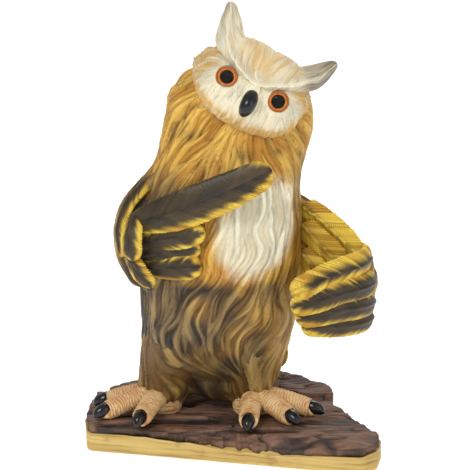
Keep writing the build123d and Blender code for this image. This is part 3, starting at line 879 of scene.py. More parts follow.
rightWing = {
    "wing_right_primary_1": dict(points=[(-66, -30, 131), (-50, -43, 139), (-30, -52, 148), (-8, -55.5, 158),
                                         (10, -56, 167), (23, -55, 173.5)],
                                 halfWidths=[7, 11, 12.6, 12.2, 10.6, 9.5], facing=(-0.1, -1, 0.1), thick=3.6,
                                 low=0.30,
                                 fringe=-0.20),
    "wing_right_primary_2": dict(points=[(-64, -31, 120), (-50, -41, 124), (-34, -48, 128), (-19, -51, 132)],
                                 halfWidths=[6, 8.5, 8.5, 6.5], facing=(-0.2, -1, 0), thick=3.2),
    "wing_right_primary_3": dict(points=[(-63, -31, 112), (-50, -40, 115), (-36, -45, 118),
                                         (-22, -49, 120.5)],
                                 halfWidths=[5.5, 7.5, 7.5, 6], facing=(-0.2, -1, 0), thick=3.0),
    "wing_right_primary_4": dict(points=[(-61, -31, 104), (-48, -40, 105.5), (-34, -46, 107),
                                         (-21, -49, 109)],
                                 halfWidths=[5.5, 8, 9, 8], facing=(-0.2, -1, -0.1), thick=3.2),
    "wing_right_alula_1": dict(points=[(-63, -34, 137), (-65.5, -42, 130), (-66, -45, 120), (-64, -44, 111)],
                               halfWidths=[5, 7, 7.4, 6], facing=(-0.5, -1, 0.2), thick=3.0, fringe=0.1,
                                rows=90),
    "wing_right_alula_2": dict(points=[(-66, -37, 111), (-62, -42, 104), (-57, -44, 98), (-52, -43, 93)],
                               halfWidths=[5, 6.4, 6, 4.5], facing=(-0.5, -1, -0.1), thick=2.8, fringe=0.1,
                                rows=90),
    "wing_right_covert_1": dict(points=[(-58, 6, 153), (-69.5, 3, 140), (-75.5, -3, 122), (-73.5, -10, 105)],
                                halfWidths=[7, 9.5, 9, 6], facing=(-1, 0.3, 0.1), thick=2.6),
    "wing_right_covert_2": dict(points=[(-57, -9, 154), (-69, -15, 141), (-75, -19, 125), (-73, -24, 108)],
                                halfWidths=[7, 8.5, 8, 5.5], facing=(-1, -0.35, 0.1), thick=2.6),
}
leftWing = {
    "wing_left_primary_1": dict(points=[(81, -2, 106), (86, -17, 105.5), (79, -39, 106.5), (63, -53, 104.5),
                                        (46, -60, 98.5), (35, -62, 94)],
                                halfWidths=[8, 9, 9.5, 9.5, 9, 8], facing=None, thick=3.4, low=-0.25,
                                 fringe=0.42),
    "wing_left_primary_2": dict(points=[(85, -2, 90), (89, -17, 90), (83, -38, 92), (64, -55, 91.5),
                                        (46, -61, 87.5), (34.5, -62, 85.5)],
                                halfWidths=[8, 8.5, 8.5, 8.5, 8, 6.5], facing=None, thick=3.2),
    "wing_left_primary_3": dict(points=[(85, -2, 76), (89, -16, 76), (83, -36, 78.5), (66, -53, 80.5),
                                        (50, -58, 78.5), (38, -59, 76.5)],
                                halfWidths=[8, 8.5, 8.5, 8.5, 8, 6.5], facing=None, thick=3.0),
    "wing_left_primary_4": dict(points=[(84, -4, 65), (88, -16, 65), (82, -34, 66.5), (66, -48, 68),
                                        (52, -54, 69.5), (42, -55, 70)],
                                halfWidths=[6, 7, 7.5, 7.5, 7, 6], facing=None, thick=3.0),
    "wing_left_covert_1": dict(points=[(45, -2, 138), (57, -5, 128), (70, -9, 116), (81, -13, 106)],
                               halfWidths=[7, 9.5, 10, 7], facing=(-0.4, -1, -0.1), thick=2.4, fringe=0.75),
    "wing_left_covert_2": dict(points=[(44, -3, 126), (53, -7, 116), (63, -10, 106), (72, -13, 97)],
                               halfWidths=[7, 9, 9.5, 7], facing=(-0.4, -1, -0.1), thick=2.4, fringe=0.75),
    "wing_left_covert_3": dict(points=[(43, -3, 108), (50, -7, 99), (57, -10, 91), (63, -12, 84)],
                               halfWidths=[6, 8, 8.5, 6], facing=(-0.4, -1, -0.1), thick=2.4, fringe=0.7),
}


def awayFromHub(points, rows):
    # the left hand curls round a hub, so its feathers face outwards from it
    line = evenly(curveThrough(points, 240), rows)
    return unit(line * np.array([1, 1, 0]) - np.array([56, -14, 0]))


def camelName(node):
    first, *rest = node.split("_")
    return first + "".join(word.capitalize() for word in rest)


seed = 100
for node, look in {**rightWing, **leftWing}.items():
    seed += 7
    look = dict(look)
    if look["facing"] is None:
        look["facing"] = awayFromHub(look["points"], look.get("rows") or featherLook["rows"])
    buildFeather(camelName(node), nodes=[node], seed=seed, **look)
for number, (x, spread) in enumerate([(-13, 0), (-25, -9), (-1, 9), (-36, -18), (10, 18)]):
    lift = 2.5 * ((number + 1) // 2)
    points = [(x + spread * share, y - lift, z) for share, y, z in
              [(0, 38, 92), (0.4, 47, 64), (0.8, 53, 38), (1.05, 55, 12)]]
    buildFeather(f"tailFeather{number + 1}", points, [8, 10, 10.5, 9], (0, 1, 0.15),
                 [f"tail_feather_{number + 1}"], 300 + number * 7, thick=2.4, fringe=-0.1)
print("feathers done")



armLook = {"columns": 150, "rows": 130, "firstTurned": 12, "lastTurned": 18, "turn": 1.45,
           "smoke": 0.85, "depth": 0.8}


def buildRightArm():
    # rays square to the arm's path, fanned over at both ends, out to the arm blended with the body
    rows, first, last = armLook["rows"], armLook["firstTurned"], armLook["lastTurned"]
    line = evenly(curveThrough(armPath["right"], 200), rows)[:, :3]
    t, n, side = frameAlong(line, (0, -1, 0.2))
    angle = np.linspace(0, 2 * math.pi, armLook["columns"], endpoint=False)
    directions = (n[:, None] * np.cos(angle)[None, :, None] + side[:, None] * np.sin(angle)[None, :, None])
    origins = line[:, None, :] + np.zeros_like(directions)
    lean = np.zeros(rows)
    lean[-last:] = np.linspace(0, armLook["turn"], last)
    lean[:first] = np.linspace(-armLook["turn"], 0, first)
    directions = directions * np.cos(lean)[:, None, None] + t[:, None] * np.sin(lean)[:, None, None]
    origins = origins[np.clip(np.arange(rows), first, rows - last - 1)]
    P = castOut(blendFields([armField, shrunk(bodyField, tuck)], blendWidth), origins, directions, 60.0)
    normal = gridNormals(P)
    flow = turnedOnSkin(onSkin(t[:, None, :], normal), normal, 0.3 * cellNoise(P, 16, 61))
    relief, groove, raised, streak, hairLine = furRelief(P, flow, 61, armLook["depth"])
    outwards = np.sign((normal * directions).sum())
    calm = smoothstep(0, 0.1, armLook["turn"] - np.abs(lean))[:, None]
    Q = P + normal * outwards * (relief * calm)[..., None]
    rag = cellNoise(P, 9, 69)
    values = {"groove": groove, "raised": raised, "streak": streak, "line": hairLine, "pale": 0 * rag,
              "smoke": np.clip(armLook["smoke"] + 0.5 * rag, 0, 1)}
    addPiece("wingRightArm", Q, plumagePaint, ["wing_right_arm"], values)


buildRightArm()


def buildLeftArm():
    # a blade: at each station of its run, an ellipse standing on edge, round on top and bottom
    stations = [  # x, y, z, half height, half thickness
        (30, 9, 112, 36, 11), (44, 8, 109, 34, 10.5), (59, 6, 105, 27.5, 9.5), (72, 2, 100, 21.5, 8.5),
        (82, -5, 91, 20, 7), (87.5, -14, 86, 19, 5), (86, -26, 85, 17, 3),
    ]
    rows, columns = 150, 150
    dense = evenly(curveThrough(stations, 240), rows)
    line, tall, deep = dense[:, :3], dense[:, 3], dense[:, 4]
    t = unit(np.gradient(line, axis=0) * np.array([1, 1, 0.0]))
    up = np.zeros_like(line) + np.array([0, 0, 1.0])
    out = np.cross(t, up)
    angle = np.linspace(0, 2 * math.pi, columns, endpoint=False)
    end = np.ones(rows)
    end[-14:] = np.sqrt(np.clip(1 - np.linspace(0, 0.995, 14) ** 2, 0, 1))
    P = (line[:, None] + up[:, None] * (tall * end)[:, None, None] * np.sin(angle)[None, :, None]
         + out[:, None] * (deep * end)[:, None, None] * np.cos(angle)[None, :, None])
    normal = gridNormals(P)
    centre = line[:, None]
    outwards = np.sign((normal * (P - centre)).sum())
    flow = unit(t[:, None] * 1.0 - up[:, None] * 0.55)
    flow = turnedOnSkin(onSkin(flow, normal), normal, 0.35 * cellNoise(P, 18, 71))
    relief, groove, raised, streak, line = furRelief(P, flow, 72, 0.8, locks=7)
    Q = P + normal * outwards * relief[..., None]
    outer = 1 - smoothstep(-2, 4, -(P - centre)[..., 1])
    values = {"groove": groove, "raised": raised, "streak": streak, "line": line,
              "pale": 0 * groove, "smoke": np.clip(0.75 * outer + 0.3 * cellNoise(P, 12, 73), 0, 1)}
    addPiece("wingLeftArm", Q, plumagePaint, ["wing_left_arm", "wing_left_wrist"], values)


buildLeftArm()
print("wing arms done")

faceLook = {"halfWidth": 37.5, "halfHeight": 22.5, "topHeight": 23.0, "middle": 2.5, "drop": -5.0,
            "rows": 170, "columns": 420, "eyeX": 17.75, "eyeDish": 3.4}


def faceForward(r, u):
    # forward of the face over its plane: a dome, two eye seats in raised rims, a bridge, full cheeks
    across = np.abs((r - faceLook["middle"]) / faceLook["halfWidth"])
    k = np.hypot(across, (u - faceLook["drop"]) / faceLook["halfHeight"])
    down = np.maximum(faceLook["drop"] - u, 0) / faceLook["halfHeight"]
    high = np.maximum(u - faceLook["drop"], 0) / faceLook["halfHeight"]
    dome = (3.5 - 24.0 * np.abs((r - 1.0) / faceLook["halfWidth"]) ** 4 - 5.5 * down**3 - 19.0 * high**2.1
            - 1.5 * k**6)
    eye = np.minimum(np.hypot(r - faceLook["eyeX"], u), np.hypot(r + faceLook["eyeX"], u))
    dish = 1.2 * np.exp(-((eye - 8.5) / 3) ** 2) - faceLook["eyeDish"] * smoothstep(6.9, 4.8, eye)
    bridge = 6.5 * np.exp(-(r / 6.5) ** 2) * smoothstep(16, 2, u) * smoothstep(-32, -12, u)
    cheek = 2.6 * np.exp(-(((np.abs(r) - 14) / 12) ** 2 + ((u + 17) / 10) ** 2))
    return dome + dish + bridge + cheek


def buildFace():
    # polar grid over the disc, then a rim that turns back into the head
    columns = faceLook["columns"]
    around = np.linspace(0, 2 * math.pi, columns, endpoint=False)
    k = np.r_[np.linspace(0.01, 1.0, faceLook["rows"] - 26),
              1 + 0.10 * np.sin(np.linspace(0.06, math.pi / 2, 26))]
    back = np.r_[np.zeros(faceLook["rows"] - 26), 15 * (1 - np.cos(np.linspace(0.06, math.pi / 2, 26)))]
    loop = np.stack([np.cos(around) * 60, np.sin(around) * 60, 0 * around], -1)
    rag = 0.02 * cellNoise(loop, 9, 81) + 0.022 * cellNoise(loop, 2.6, 86)
    rag = 1 + smoothstep(0.5, 1.0, k)[:, None] * rag[None]
    r = faceLook["middle"] + k[:, None] * faceLook["halfWidth"] * np.cos(around)[None, :] * rag
    tall = np.where(np.sin(around) > 0, faceLook["topHeight"], faceLook["halfHeight"])
    u = faceLook["drop"] + k[:, None] * (tall * np.sin(around))[None, :] * rag
    f = faceForward(r, u) - back[:, None]
    P = headPoint(r, u, f)
    n = gridNormals(P)
    outwards = np.sign((n * np.array([0, -1.0, 0])).sum())
    flow = np.zeros_like(P)
    for eyeX in (-faceLook["eyeX"], faceLook["eyeX"]):
        d = P - headPoint(eyeX, 0, 0)
        flow += unit(d) / (np.linalg.norm(d, axis=-1, keepdims=True) ** 2 + 30)
    d = P - headPoint(1.5, 6, 4)
    flow += 1.1 * unit(d) / (np.linalg.norm(d, axis=-1, keepdims=True) ** 2 + 60)
    flow += -headUp * 0.0014
    flow = turnedOnSkin(onSkin(flow, n), n, 0.22 * cellNoise(P, 9, 82))
    lock = combed(P, flow, 3.6, 34, 83)
    strand = combed(P, flow, 1.7, 24, 84)
    fine = combed(P, flow, 1.0, 14, 85)
    eye = np.minimum(np.hypot(r - faceLook["eyeX"], u), np.hypot(r + faceLook["eyeX"], u))
    calm = smoothstep(7.5, 13, eye) * smoothstep(0.02, 0.15, k)[:, None]
    relief = (0.6 * strandRidges(lock, 0.6) + 0.4 * strandRidges(strand, 0.5) + 0.12 * fine - 0.7) * calm
    Q = P + n * outwards * relief[..., None]
    groove = np.clip(0.4 * np.exp(-(lock / 0.22) ** 2) + 0.4 * np.exp(-(strand / 0.2) ** 2), 0, 1) * calm
    edge = smoothstep(0.74, 1.0, k[:, None] + 0.05 * lock)
    lower = smoothstep(-14, -25, u + 1.5 * lock)
    ring = np.exp(-((eye - 9.5) / 3.2) ** 2)
    outer = (smoothstep(24, 33, -r) * smoothstep(-24, -8, u)
             + 0.8 * smoothstep(25, 35, r) * smoothstep(-20, -6, u))
    pale = np.clip(1 - 0.95 * edge - 0.8 * lower + 0.12 * strand, 0, 1)
    # the band above the eyes is painted shade under the overhanging brow ridge; smoke carries it along with
    # the grey ring round each eye and the grey outer rim
    shadeUnderBrow = smoothstep(5, 11, u) * smoothstep(2, 8, np.abs(r)) * smoothstep(26, 12, np.abs(r))
    smoke = np.clip(0.18 * ring + 0.42 * outer * (1 - edge) + 0.5 * shadeUnderBrow + 0.12 * strand - 0.1 * lower, 0, 1)
    values = {"groove": groove, "raised": strandRidges(strand, 0.8), "streak": strand,
              "line": lock + 0.8 * strand,
              "pale": pale, "smoke": smoke}
    addPiece("faceMask", Q, facePaint, ["face_mask"], values)


buildFace()

crestStations = [  # brow ridge, top edge, underside and back, each as right, up, forward
    ((0, 6.4, 7.0), (0, 30.0, -20), (0, 1.5, -1), (0, 20, -42)),
    ((9.6, 8.3, 6.0), (8, 30.6, -21), (9.6, 3.2, -2), (8, 20, -42)),
    ((20.5, 13.4, 1.0), (15, 29.8, -23), (21, 7.5, -8), (15, 20, -42)),
    ((28.8, 20.2, -8), (19.3, 28.0, -25), (31.5, 12.0, -18), (20, 21, -40)),
    ((33.2, 27.5, -16), (23.5, 31.5, -27), (36.5, 19.5, -25), (27, 25, -38)),
    ((36.0, 34.5, -22), (29.0, 37.0, -28.5), (39.3, 29.5, -29), (33, 32, -36)),
    ((38.0, 40.0, -26), (34.4, 41.6, -29.5), (40.4, 37.5, -30), (37.2, 38.5, -33.5)),
    ((39.6, 42.6, -28), (37.0, 43.8, -29.5), (41.8, 41.0, -30), (39.2, 42.2, -32.5)),
]
crestLook = {"rows": 260, "columns": 150, "tuftFrom": 0.60, "roll": math.radians(4), "drop": 1.5,
             "blunt": 0.955}


def buildCrest():
    # a closed loop through underside, ridge, hollow forehead, top and back, carried from tuft to tuft
    half = np.array(crestStations, float).reshape(len(crestStations), 12)
    other = half[1:][::-1].copy()
    other[:, [0, 3, 6, 9]] *= -1
    both = curveThrough(np.vstack([other, half]), 900)
    ridge = both[:, :3]
    run = np.r_[0, np.cumsum(np.linalg.norm(np.diff(ridge, axis=0), axis=1))]
    at = np.linspace(0, run[-1], crestLook["rows"])
    both = np.stack([np.interp(at, run, both[:, k]) for k in range(12)], 1)
    s = at / run[-1] * 2 - 1
    B, U, O, K = both[:, 0:3], both[:, 3:6], both[:, 6:9], both[:, 9:12]
    middle = smoothstep(0.75, 0.3, np.abs(s))[:, None]
    hollowA = B * 0.74 + U * 0.26 + middle * np.array([0, -1.0, -3.2])
    hollowB = B * 0.33 + U * 0.67 + middle * np.array([0, 1.0, 1.6])
    loop = np.stack([O, O * 0.35 + B * 0.65 + np.array([0, -0.2, 0.6]), B, hollowA, hollowB, U,
                     U * 0.5 + K * 0.5 + np.array([0, 0.8, 0]), K,
                      K * 0.5 + O * 0.5 + np.array([0, -0.5, -2])], 1)
    columns = crestLook["columns"]
    count = loop.shape[1]
    t = np.linspace(0, count, columns, endpoint=False)
    i = t.astype(int)
    f = (t - i)[None, :, None]
    a, b, c, d = (loop[:, (i + k) % count] for k in (-1, 0, 1, 2))
    L = 0.5 * (2 * b + (c - a) * f + (2 * a - 5 * b + 4 * c - d) * f**2 + (3 * b - a - 3 * c + d) * f**3)
    end = np.clip((np.abs(s) - crestLook["blunt"]) / (1 - crestLook["blunt"]), 0, 0.995)
    middlePoint = L.mean(1, keepdims=True)
    L = middlePoint + (L - middlePoint) * np.sqrt(1 - end**2)[:, None, None]
    roll, pivot = crestLook["roll"], 10.0
    right = L[..., 0] * math.cos(roll) + (L[..., 1] - pivot) * math.sin(roll)
    up = pivot - crestLook["drop"] - L[..., 0] * math.sin(roll) + (L[..., 1] - pivot) * math.cos(roll)
    ridgeShare = np.interp(t, range(count + 1), [1, 1, 1, 0.9, 0.45, 0.15, 0, 0, 0.4, 1])[None, :]
    lifted = ridgeShare * smoothstep(0.86, 0.5, np.abs(s))[:, None]
    rightBrow = 2.6 * ridgeShare * smoothstep(0.0, 0.22, s)[:, None] * smoothstep(0.8, 0.5, s)[:, None]
    right = right + 1.75 * (1 - lifted)
    up = up - 3.49 * (1 - lifted) + rightBrow
    P = headPoint(right, up, L[..., 2])
    n = gridNormals(P)
    outwards = np.sign((n * (P - P.mean(1, keepdims=True))).sum())
    dv = unit(np.gradient(P, axis=0)) * np.sign(s)[:, None, None]
    du = unit(np.roll(P, -1, 1) - np.roll(P, 1, 1))
    horn = smoothstep(0.28, 0.62, np.abs(s))[:, None, None]
    flow = du * (1 - horn) + dv * (horn + 0.35)
    flow = turnedOnSkin(onSkin(flow, n), n, 0.2 * cellNoise(P, 10, 91))
    lock = combed(P, flow, 4.0, 44, 92)
    strand = combed(P, flow, 1.8, 30, 93)
    fine = combed(P, flow, 1.0, 16, 94)
    nearRidge = np.exp(-((t - 2.0) / 0.34) ** 2)[None, :]
    calm = smoothstep(1.0, 0.93, np.abs(s))[:, None] * (1 - 0.7 * nearRidge)
    forehead = np.exp(-((t - 4.1) / 1.25) ** 2)[None, :] * smoothstep(0.7, 0.3, np.abs(s))[:, None]
    calm = calm * (1 - 0.5 * forehead)
    relief = (0.6 * strandRidges(lock, 0.8) + 0.45 * strandRidges(strand, 0.5) + 0.12 * fine - 0.6) * calm
    Q = P + n * outwards * relief[..., None]
    groove = np.clip(0.35 * np.exp(-(lock / 0.3) ** 2) + 0.5 * np.exp(-(strand / 0.25) ** 2), 0, 1) * calm
    tip = smoothstep(0.74, 0.98, np.abs(s))[:, None]
    # the underside of the ridge gets painted shade, carried in smoke with the grey of the tuft tips, the back
    # and the left tuft
    shadeUnderRidge = np.exp(-((t - 0.5) / 0.8) ** 2)[None, :]
    behind = smoothstep(5.2, 6.5, t)[None, :]
    leftTuft = smoothstep(0.42, 0.66, s)[:, None]
    tanned = 0.62 * forehead * (0.85 + 0.15 * lock) * (1 - nearRidge)
    pale = np.clip(0.84 + 0.5 * nearRidge - tanned - 0.55 * behind + 0.1 * strand, 0, 1)
    smoke = np.clip(0.5 * tip * (1 - nearRidge) + 0.35 * shadeUnderRidge + 0.25 * behind + 0.10 * strand, 0, 1)
    smoke = np.clip(smoke * (1 - 0.9 * nearRidge) + 0.62 * leftTuft * (1 - 0.5 * nearRidge), 0, 1)
    values = {"groove": groove, "raised": strandRidges(strand, 0.8), "streak": strand,
              "line": lock + 0.8 * strand,
              "pale": pale, "smoke": smoke}
    skin = outwardNormals(Q, P - P.mean(1, keepdims=True))
    left = int(np.searchsorted(s, crestLook["tuftFrom"]))
    right = int(np.searchsorted(s, -crestLook["tuftFrom"]))
    for name, node, cut in (("earTuftRight", "ear_tuft_right", slice(0, right + 1)),
                            ("browCrest", "crest", slice(right, left + 1)),
                            ("earTuftLeft", "ear_tuft_left", slice(left, None))):
        addPiece(name, Q[cut], facePaint, [node], {k: v[cut] for k, v in values.items()},
                 flatCaps=True, normals=skin[cut])


buildCrest()



def noBumps(dense, angle):
    return 0 * angle[None, :]


def buildTube(name, points, halfWide, halfDeep, facing, material, node, rows=60, columns=48,
              bumps=noBumps, attributes=None):
    # an ellipse carried along a curve, its halves following the two lists
    dense = evenly(curveThrough(np.c_[points, halfWide, halfDeep], 200), rows)
    line = dense[:, :3]
    t, n, side = frameAlong(line, facing)
    angle = np.linspace(0, 2 * math.pi, columns, endpoint=False)
    extra = bumps(dense, angle)
    P = (line[:, None] + side[:, None] * ((dense[:, 3:4] + extra) * np.cos(angle)[None, :])[..., None]
         + n[:, None] * ((dense[:, 4:5] + extra) * np.sin(angle)[None, :])[..., None])
    addPiece(name, P, material, [node], attributes(dense, P) if attributes else None)


beakLook = {
    "right": [0.6, 0.8, 0.9, 1.0, 1.1], "up": [-0.6, -4.0, -8.4, -12.6, -16.4],
    "forward": [4.5, 9.5, 13.0, 12.0, 8.5],
    "halfWide": [3.0, 5.0, 5.3, 4.4, 1.5], "halfDeep": [2.6, 4.4, 5.2, 4.4, 1.4], "facet": 0.35,
}
buildTube("beak", headPoint(beakLook["right"], beakLook["up"], beakLook["forward"]), beakLook["halfWide"],
          beakLook["halfDeep"], (0, -1, 0.25), blackGloss, "beak",
          bumps=lambda dense, angle: -beakLook["facet"] * np.cos(angle * 2)[None, :])


def turnedAbout(profile, centre, axis, columns, heightWave=1.0):
    # a profile of (radius, height) turned about an axis; heightWave scales the heights round the turn
    axis = unit(np.asarray(axis, float))
    across = unit(np.cross(axis, [0, 0, 1.0]))
    high = np.cross(across, axis)
    angle = np.linspace(0, 2 * math.pi, columns, endpoint=False)
    ring = across * np.cos(angle)[:, None] + high * np.sin(angle)[:, None]
    if callable(heightWave):
        heightWave = heightWave(ring)
    height = profile[:, 1][:, None] * (heightWave * np.ones(columns))[None]
    return centre + profile[:, 0][:, None, None] * ring[None] + axis * height[..., None]


eyeLook = {"radius": 6.1, "pupil": 4.15, "lens": 3.8, "lensSpread": 1.2, "lid": 0.62, "lidHeight": 1.3,
           "forward": 0.6, "outwards": 0.16}


def buildEye(side, label):
    # iris ring, pupil disc, domed lens and a rolled lid, all turned about the line of sight
    r, pupil, lid, spread = (eyeLook[k] for k in ("radius", "pupil", "lid", "lensSpread"))
    axis = unit(np.array([side * eyeLook["outwards"], -1, 0.06]))
    centre = headPoint(side * faceLook["eyeX"], 0, eyeLook["forward"]).reshape(3)
    part = label.lower()
    iris = np.array([(0.05, -1), (pupil, -1), *((x, 0.3) for x in np.linspace(pupil, r, 20)), (r, -1)])
    addPiece(f"iris{label}", turnedAbout(iris, centre, axis, 96), irisPaint, [f"iris_{part}"],
             {"rim": np.repeat(iris[:, 0] / r, 96)})
    disc = np.array([(0.05, -0.8), (pupil, -0.8), (pupil, 0.45), (pupil * 0.9, 0.5), (0.05, 0.5)])
    addPiece(f"pupil{label}", turnedAbout(disc, centre, axis, 96), pupilPaint, [f"pupil_{part}"])
    turn = (1 - np.linspace(0, 1, 24)) * spread
    rise = eyeLook["lens"] * (np.cos(turn) - math.cos(spread)) / (1 - math.cos(spread)) + 0.55
    dome = np.c_[r * np.sin(turn) / math.sin(spread), rise]
    lens = np.vstack([[0.05, 0.53], [r * 0.98, 0.53], dome[:-1], [0.05, dome[-1, 1]]])
    addPiece(f"lens{label}", turnedAbout(lens, centre, axis, 96), eyeGlass, [f"lens_{part}"])
    a = np.linspace(0, 2 * math.pi, 16, endpoint=False)
    roll = np.c_[r + lid * 0.7 + lid * np.cos(a), 0.9 + eyeLook["lidHeight"] * np.sin(a)]
    P = turnedAbout(roll, centre, axis, 110, lambda ring: 1 + 0.10 * cellNoise(ring * 12 + 50, 5, 7))
    P = np.swapaxes(P, 0, 1)
    P = np.concatenate([P, P[:1]], 0)
    addPiece(f"eyelid{label}", P, lidPaint, [f"eyelid_{part}"], caps=False)


for side, label in ((-1, "Right"), (1, "Left")):
    buildEye(side, label)
print("head done")

toeEnds = {
    "right": {"outer": (-94, -1), "middle": (-92, -26), "inner": (-64, -43)},
    "left": {"inner": (8, -50), "middle": (41, -40), "outer": (58, -19)},
}
footSpots = {"right": (-49, 0), "left": (12, -5)}
toeLook = {"radius": 6.3, "claw": 10.0, "ringPitch": 1.9, "ringDepth": 0.42,
           "clawWide": [3.6, 4.5, 3.9, 2.2, 0.4], "clawDeep": [3.8, 4.8, 4.0, 2.2, 0.4]}


def toeValues(dense, P):
    # creases across the toe: a wave of ringPitch millimetres along it, set off by noise
    run = np.linalg.norm(dense[:, :3] - dense[0, :3], axis=1)
    wobble = 1.5 * cellNoise(P, 5, 17) + 0.5 * cellNoise(P, 2, 18)
    wave = 0.5 + 0.5 * np.cos(2 * math.pi * (run[:, None] + wobble) / toeLook["ringPitch"])
    patchy = 0.5 + 0.5 * cellNoise(P, 4, 19)
    raised = np.clip((1 - wave) ** 2 * (0.5 + patchy), 0, 1)
    return {"groove": wave**3 * 0.45 * patchy, "raised": raised, "streak": wobble}


def toeRings(dense, angle):
    # the same creases as relief: ringDepth (0.4 - wave^2)
    run = np.linalg.norm(dense[:, :3] - dense[0, :3], axis=1)
    at = dense[:, None, :3] + 5 * np.stack([np.cos(angle), np.sin(angle), 0 * angle], -1)[None]
    wobble = 1.5 * cellNoise(at, 5, 17) + 0.5 * cellNoise(at, 2, 18)
    wave = 0.5 + 0.5 * np.cos(2 * math.pi * (run[:, None] + wobble) / toeLook["ringPitch"])
    return toeLook["ringDepth"] * (0.4 - wave**2)


for side, ends in toeEnds.items():
    fx, fy = footSpots[side]
    buildTube(f"foot.{side}", [(fx, fy + 2, 0.6), (fx, fy + 1, 6), (fx, fy + 1, 13), (fx, fy + 2, 20)],
              [13, 13.5, 12, 10], [12, 12, 11, 10], (0, -1, 0), footPaint, f"foot_{side}",
              rows=70, columns=90, bumps=toeRings, attributes=toeValues)
    for name, (cx, cy) in ends.items():
        root, tip = np.array([fx, fy, 11.0]), np.array([cx, cy, 4.0])
        along = unit((tip - root) * np.array([1, 1, 0]))
        end = tip * np.array([1, 1, 0]) + np.array([0, 0, 6.2]) - along * toeLook["claw"]
        mid = root * 0.45 + end * 0.55 + np.array([0, 0, 1.5])
        r = toeLook["radius"]
        buildTube(f"toe.{side}.{name}", [root, mid, end, end + along * 2.4], [7.6, r + 0.5, r, r * 0.72],
                  [7.6, r + 0.3, r, r * 0.72], (0, 0, 1), footPaint, f"toe_{side}_{name}",
                  rows=110, columns=64, bumps=toeRings, attributes=toeValues)
        clawLine = [end - along, end + along * 3 + [0, 0, 0.4], end + along * 7 + [0, 0, -0.8],
                    end + along * 9.8 + [0, 0, -3.0], end + along * 10.4 + [0, 0, -3.8]]
        buildTube(f"claw.{side}.{name}", clawLine, toeLook["clawWide"], toeLook["clawDeep"], (0, 0, 1),
                  blackGloss, f"claw_{side}_{name}", rows=40, columns=40)
print("feet done")



baseLook = {
    "edgeBand": 0.0004, "boreReach": 0.06, "barkColumns": 620, "slabColumns": 760,
    "step": 4.0, "stepLine": ([-62, -20, 25, 110], [44, 32, 26, -4]),
    "dip": 4.8, "dipMiddle": 18, "dipSpread": 52, "barkInset": 1.3, "barkWall": -7.0,
}


def crossOf(a, b):
    return a[:, 0] * b[:, 1] - a[:, 1] * b[:, 0]


def outlineOf(node, columns):
    # the node's plan outline at even angles round the middle, from the corner points of its top
    # as unit rays and how far each goes in millimetres; points nearer than boreReach are bores
    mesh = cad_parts[node].data
    corners = np.zeros(len(mesh.vertices) * 3)
    mesh.vertices.foreach_get("co", corners)
    corners = corners.reshape(-1, 3)
    d = corners[corners[:, 2] > corners[:, 2].max() - baseLook["edgeBand"]][:, :2]
    d = d[np.hypot(d[:, 0], d[:, 1]) > baseLook["boreReach"]]
    angle = np.arctan2(d[:, 1], d[:, 0])
    order = np.argsort(angle)
    d, angle = d[order], angle[order]
    d = np.vstack([d[-1:], d, d[:1]])
    angle = np.r_[angle[-1] - 2 * math.pi, angle, angle[0] + 2 * math.pi]
    wanted = np.linspace(-math.pi, math.pi, columns, endpoint=False)
    i = np.clip(np.searchsorted(angle, wanted) - 1, 0, len(angle) - 2)
    p, q = d[i], d[i + 1]
    ray = np.stack([np.cos(wanted), np.sin(wanted)], -1)
    turn = crossOf(ray, q - p)
    crosses = np.abs(turn) > 1e-9
    reach = np.where(crosses, crossOf(p, q - p) / np.where(crosses, turn, 1), np.hypot(p[:, 0], p[:, 1]))
    return ray, reach * 1000 / layoutScale[0]


def barkHeight(x, y):
    # terraces of long plates, split by cracks that run with the grain
    p = np.stack([x / 34, y / 7, 0 * x], -1)
    q = p + 0.35 * np.stack([cellNoise(p, 0.9, 201), cellNoise(p, 0.9, 202), 0 * x], -1)
    plate = cellNoise(q, 1.0, 203)
    step = np.tanh(plate * 6) * 0.9 + plate * 0.6
    crack = np.exp(-(cellNoise(q * 1.7, 1.0, 204) / 0.10) ** 2)
    small = cellNoise(np.stack([x / 9, y / 2.2, 0 * x], -1), 1.0, 205)
    return step * 1.15 - 1.7 * crack + 0.55 * small, crack


def barkStep(x, y):
    # the bark behind the owl is a layer higher; its edge wanders along a line across the slab
    along = np.interp(x, *baseLook["stepLine"])
    wander = 2.2 * cellNoise(np.stack([x, 0 * x, 0 * x], -1), 9, 208)
    return baseLook["step"] * smoothstep(-1.2, 1.2, y - along - wander) * smoothstep(-66, -60, x)


def frontDip(x, y):
    # how far the front edge is chipped down in its middle
    spread = np.exp(-((x - baseLook["dipMiddle"]) / baseLook["dipSpread"]) ** 2)
    return baseLook["dip"] * spread * smoothstep(-30, -45, y)


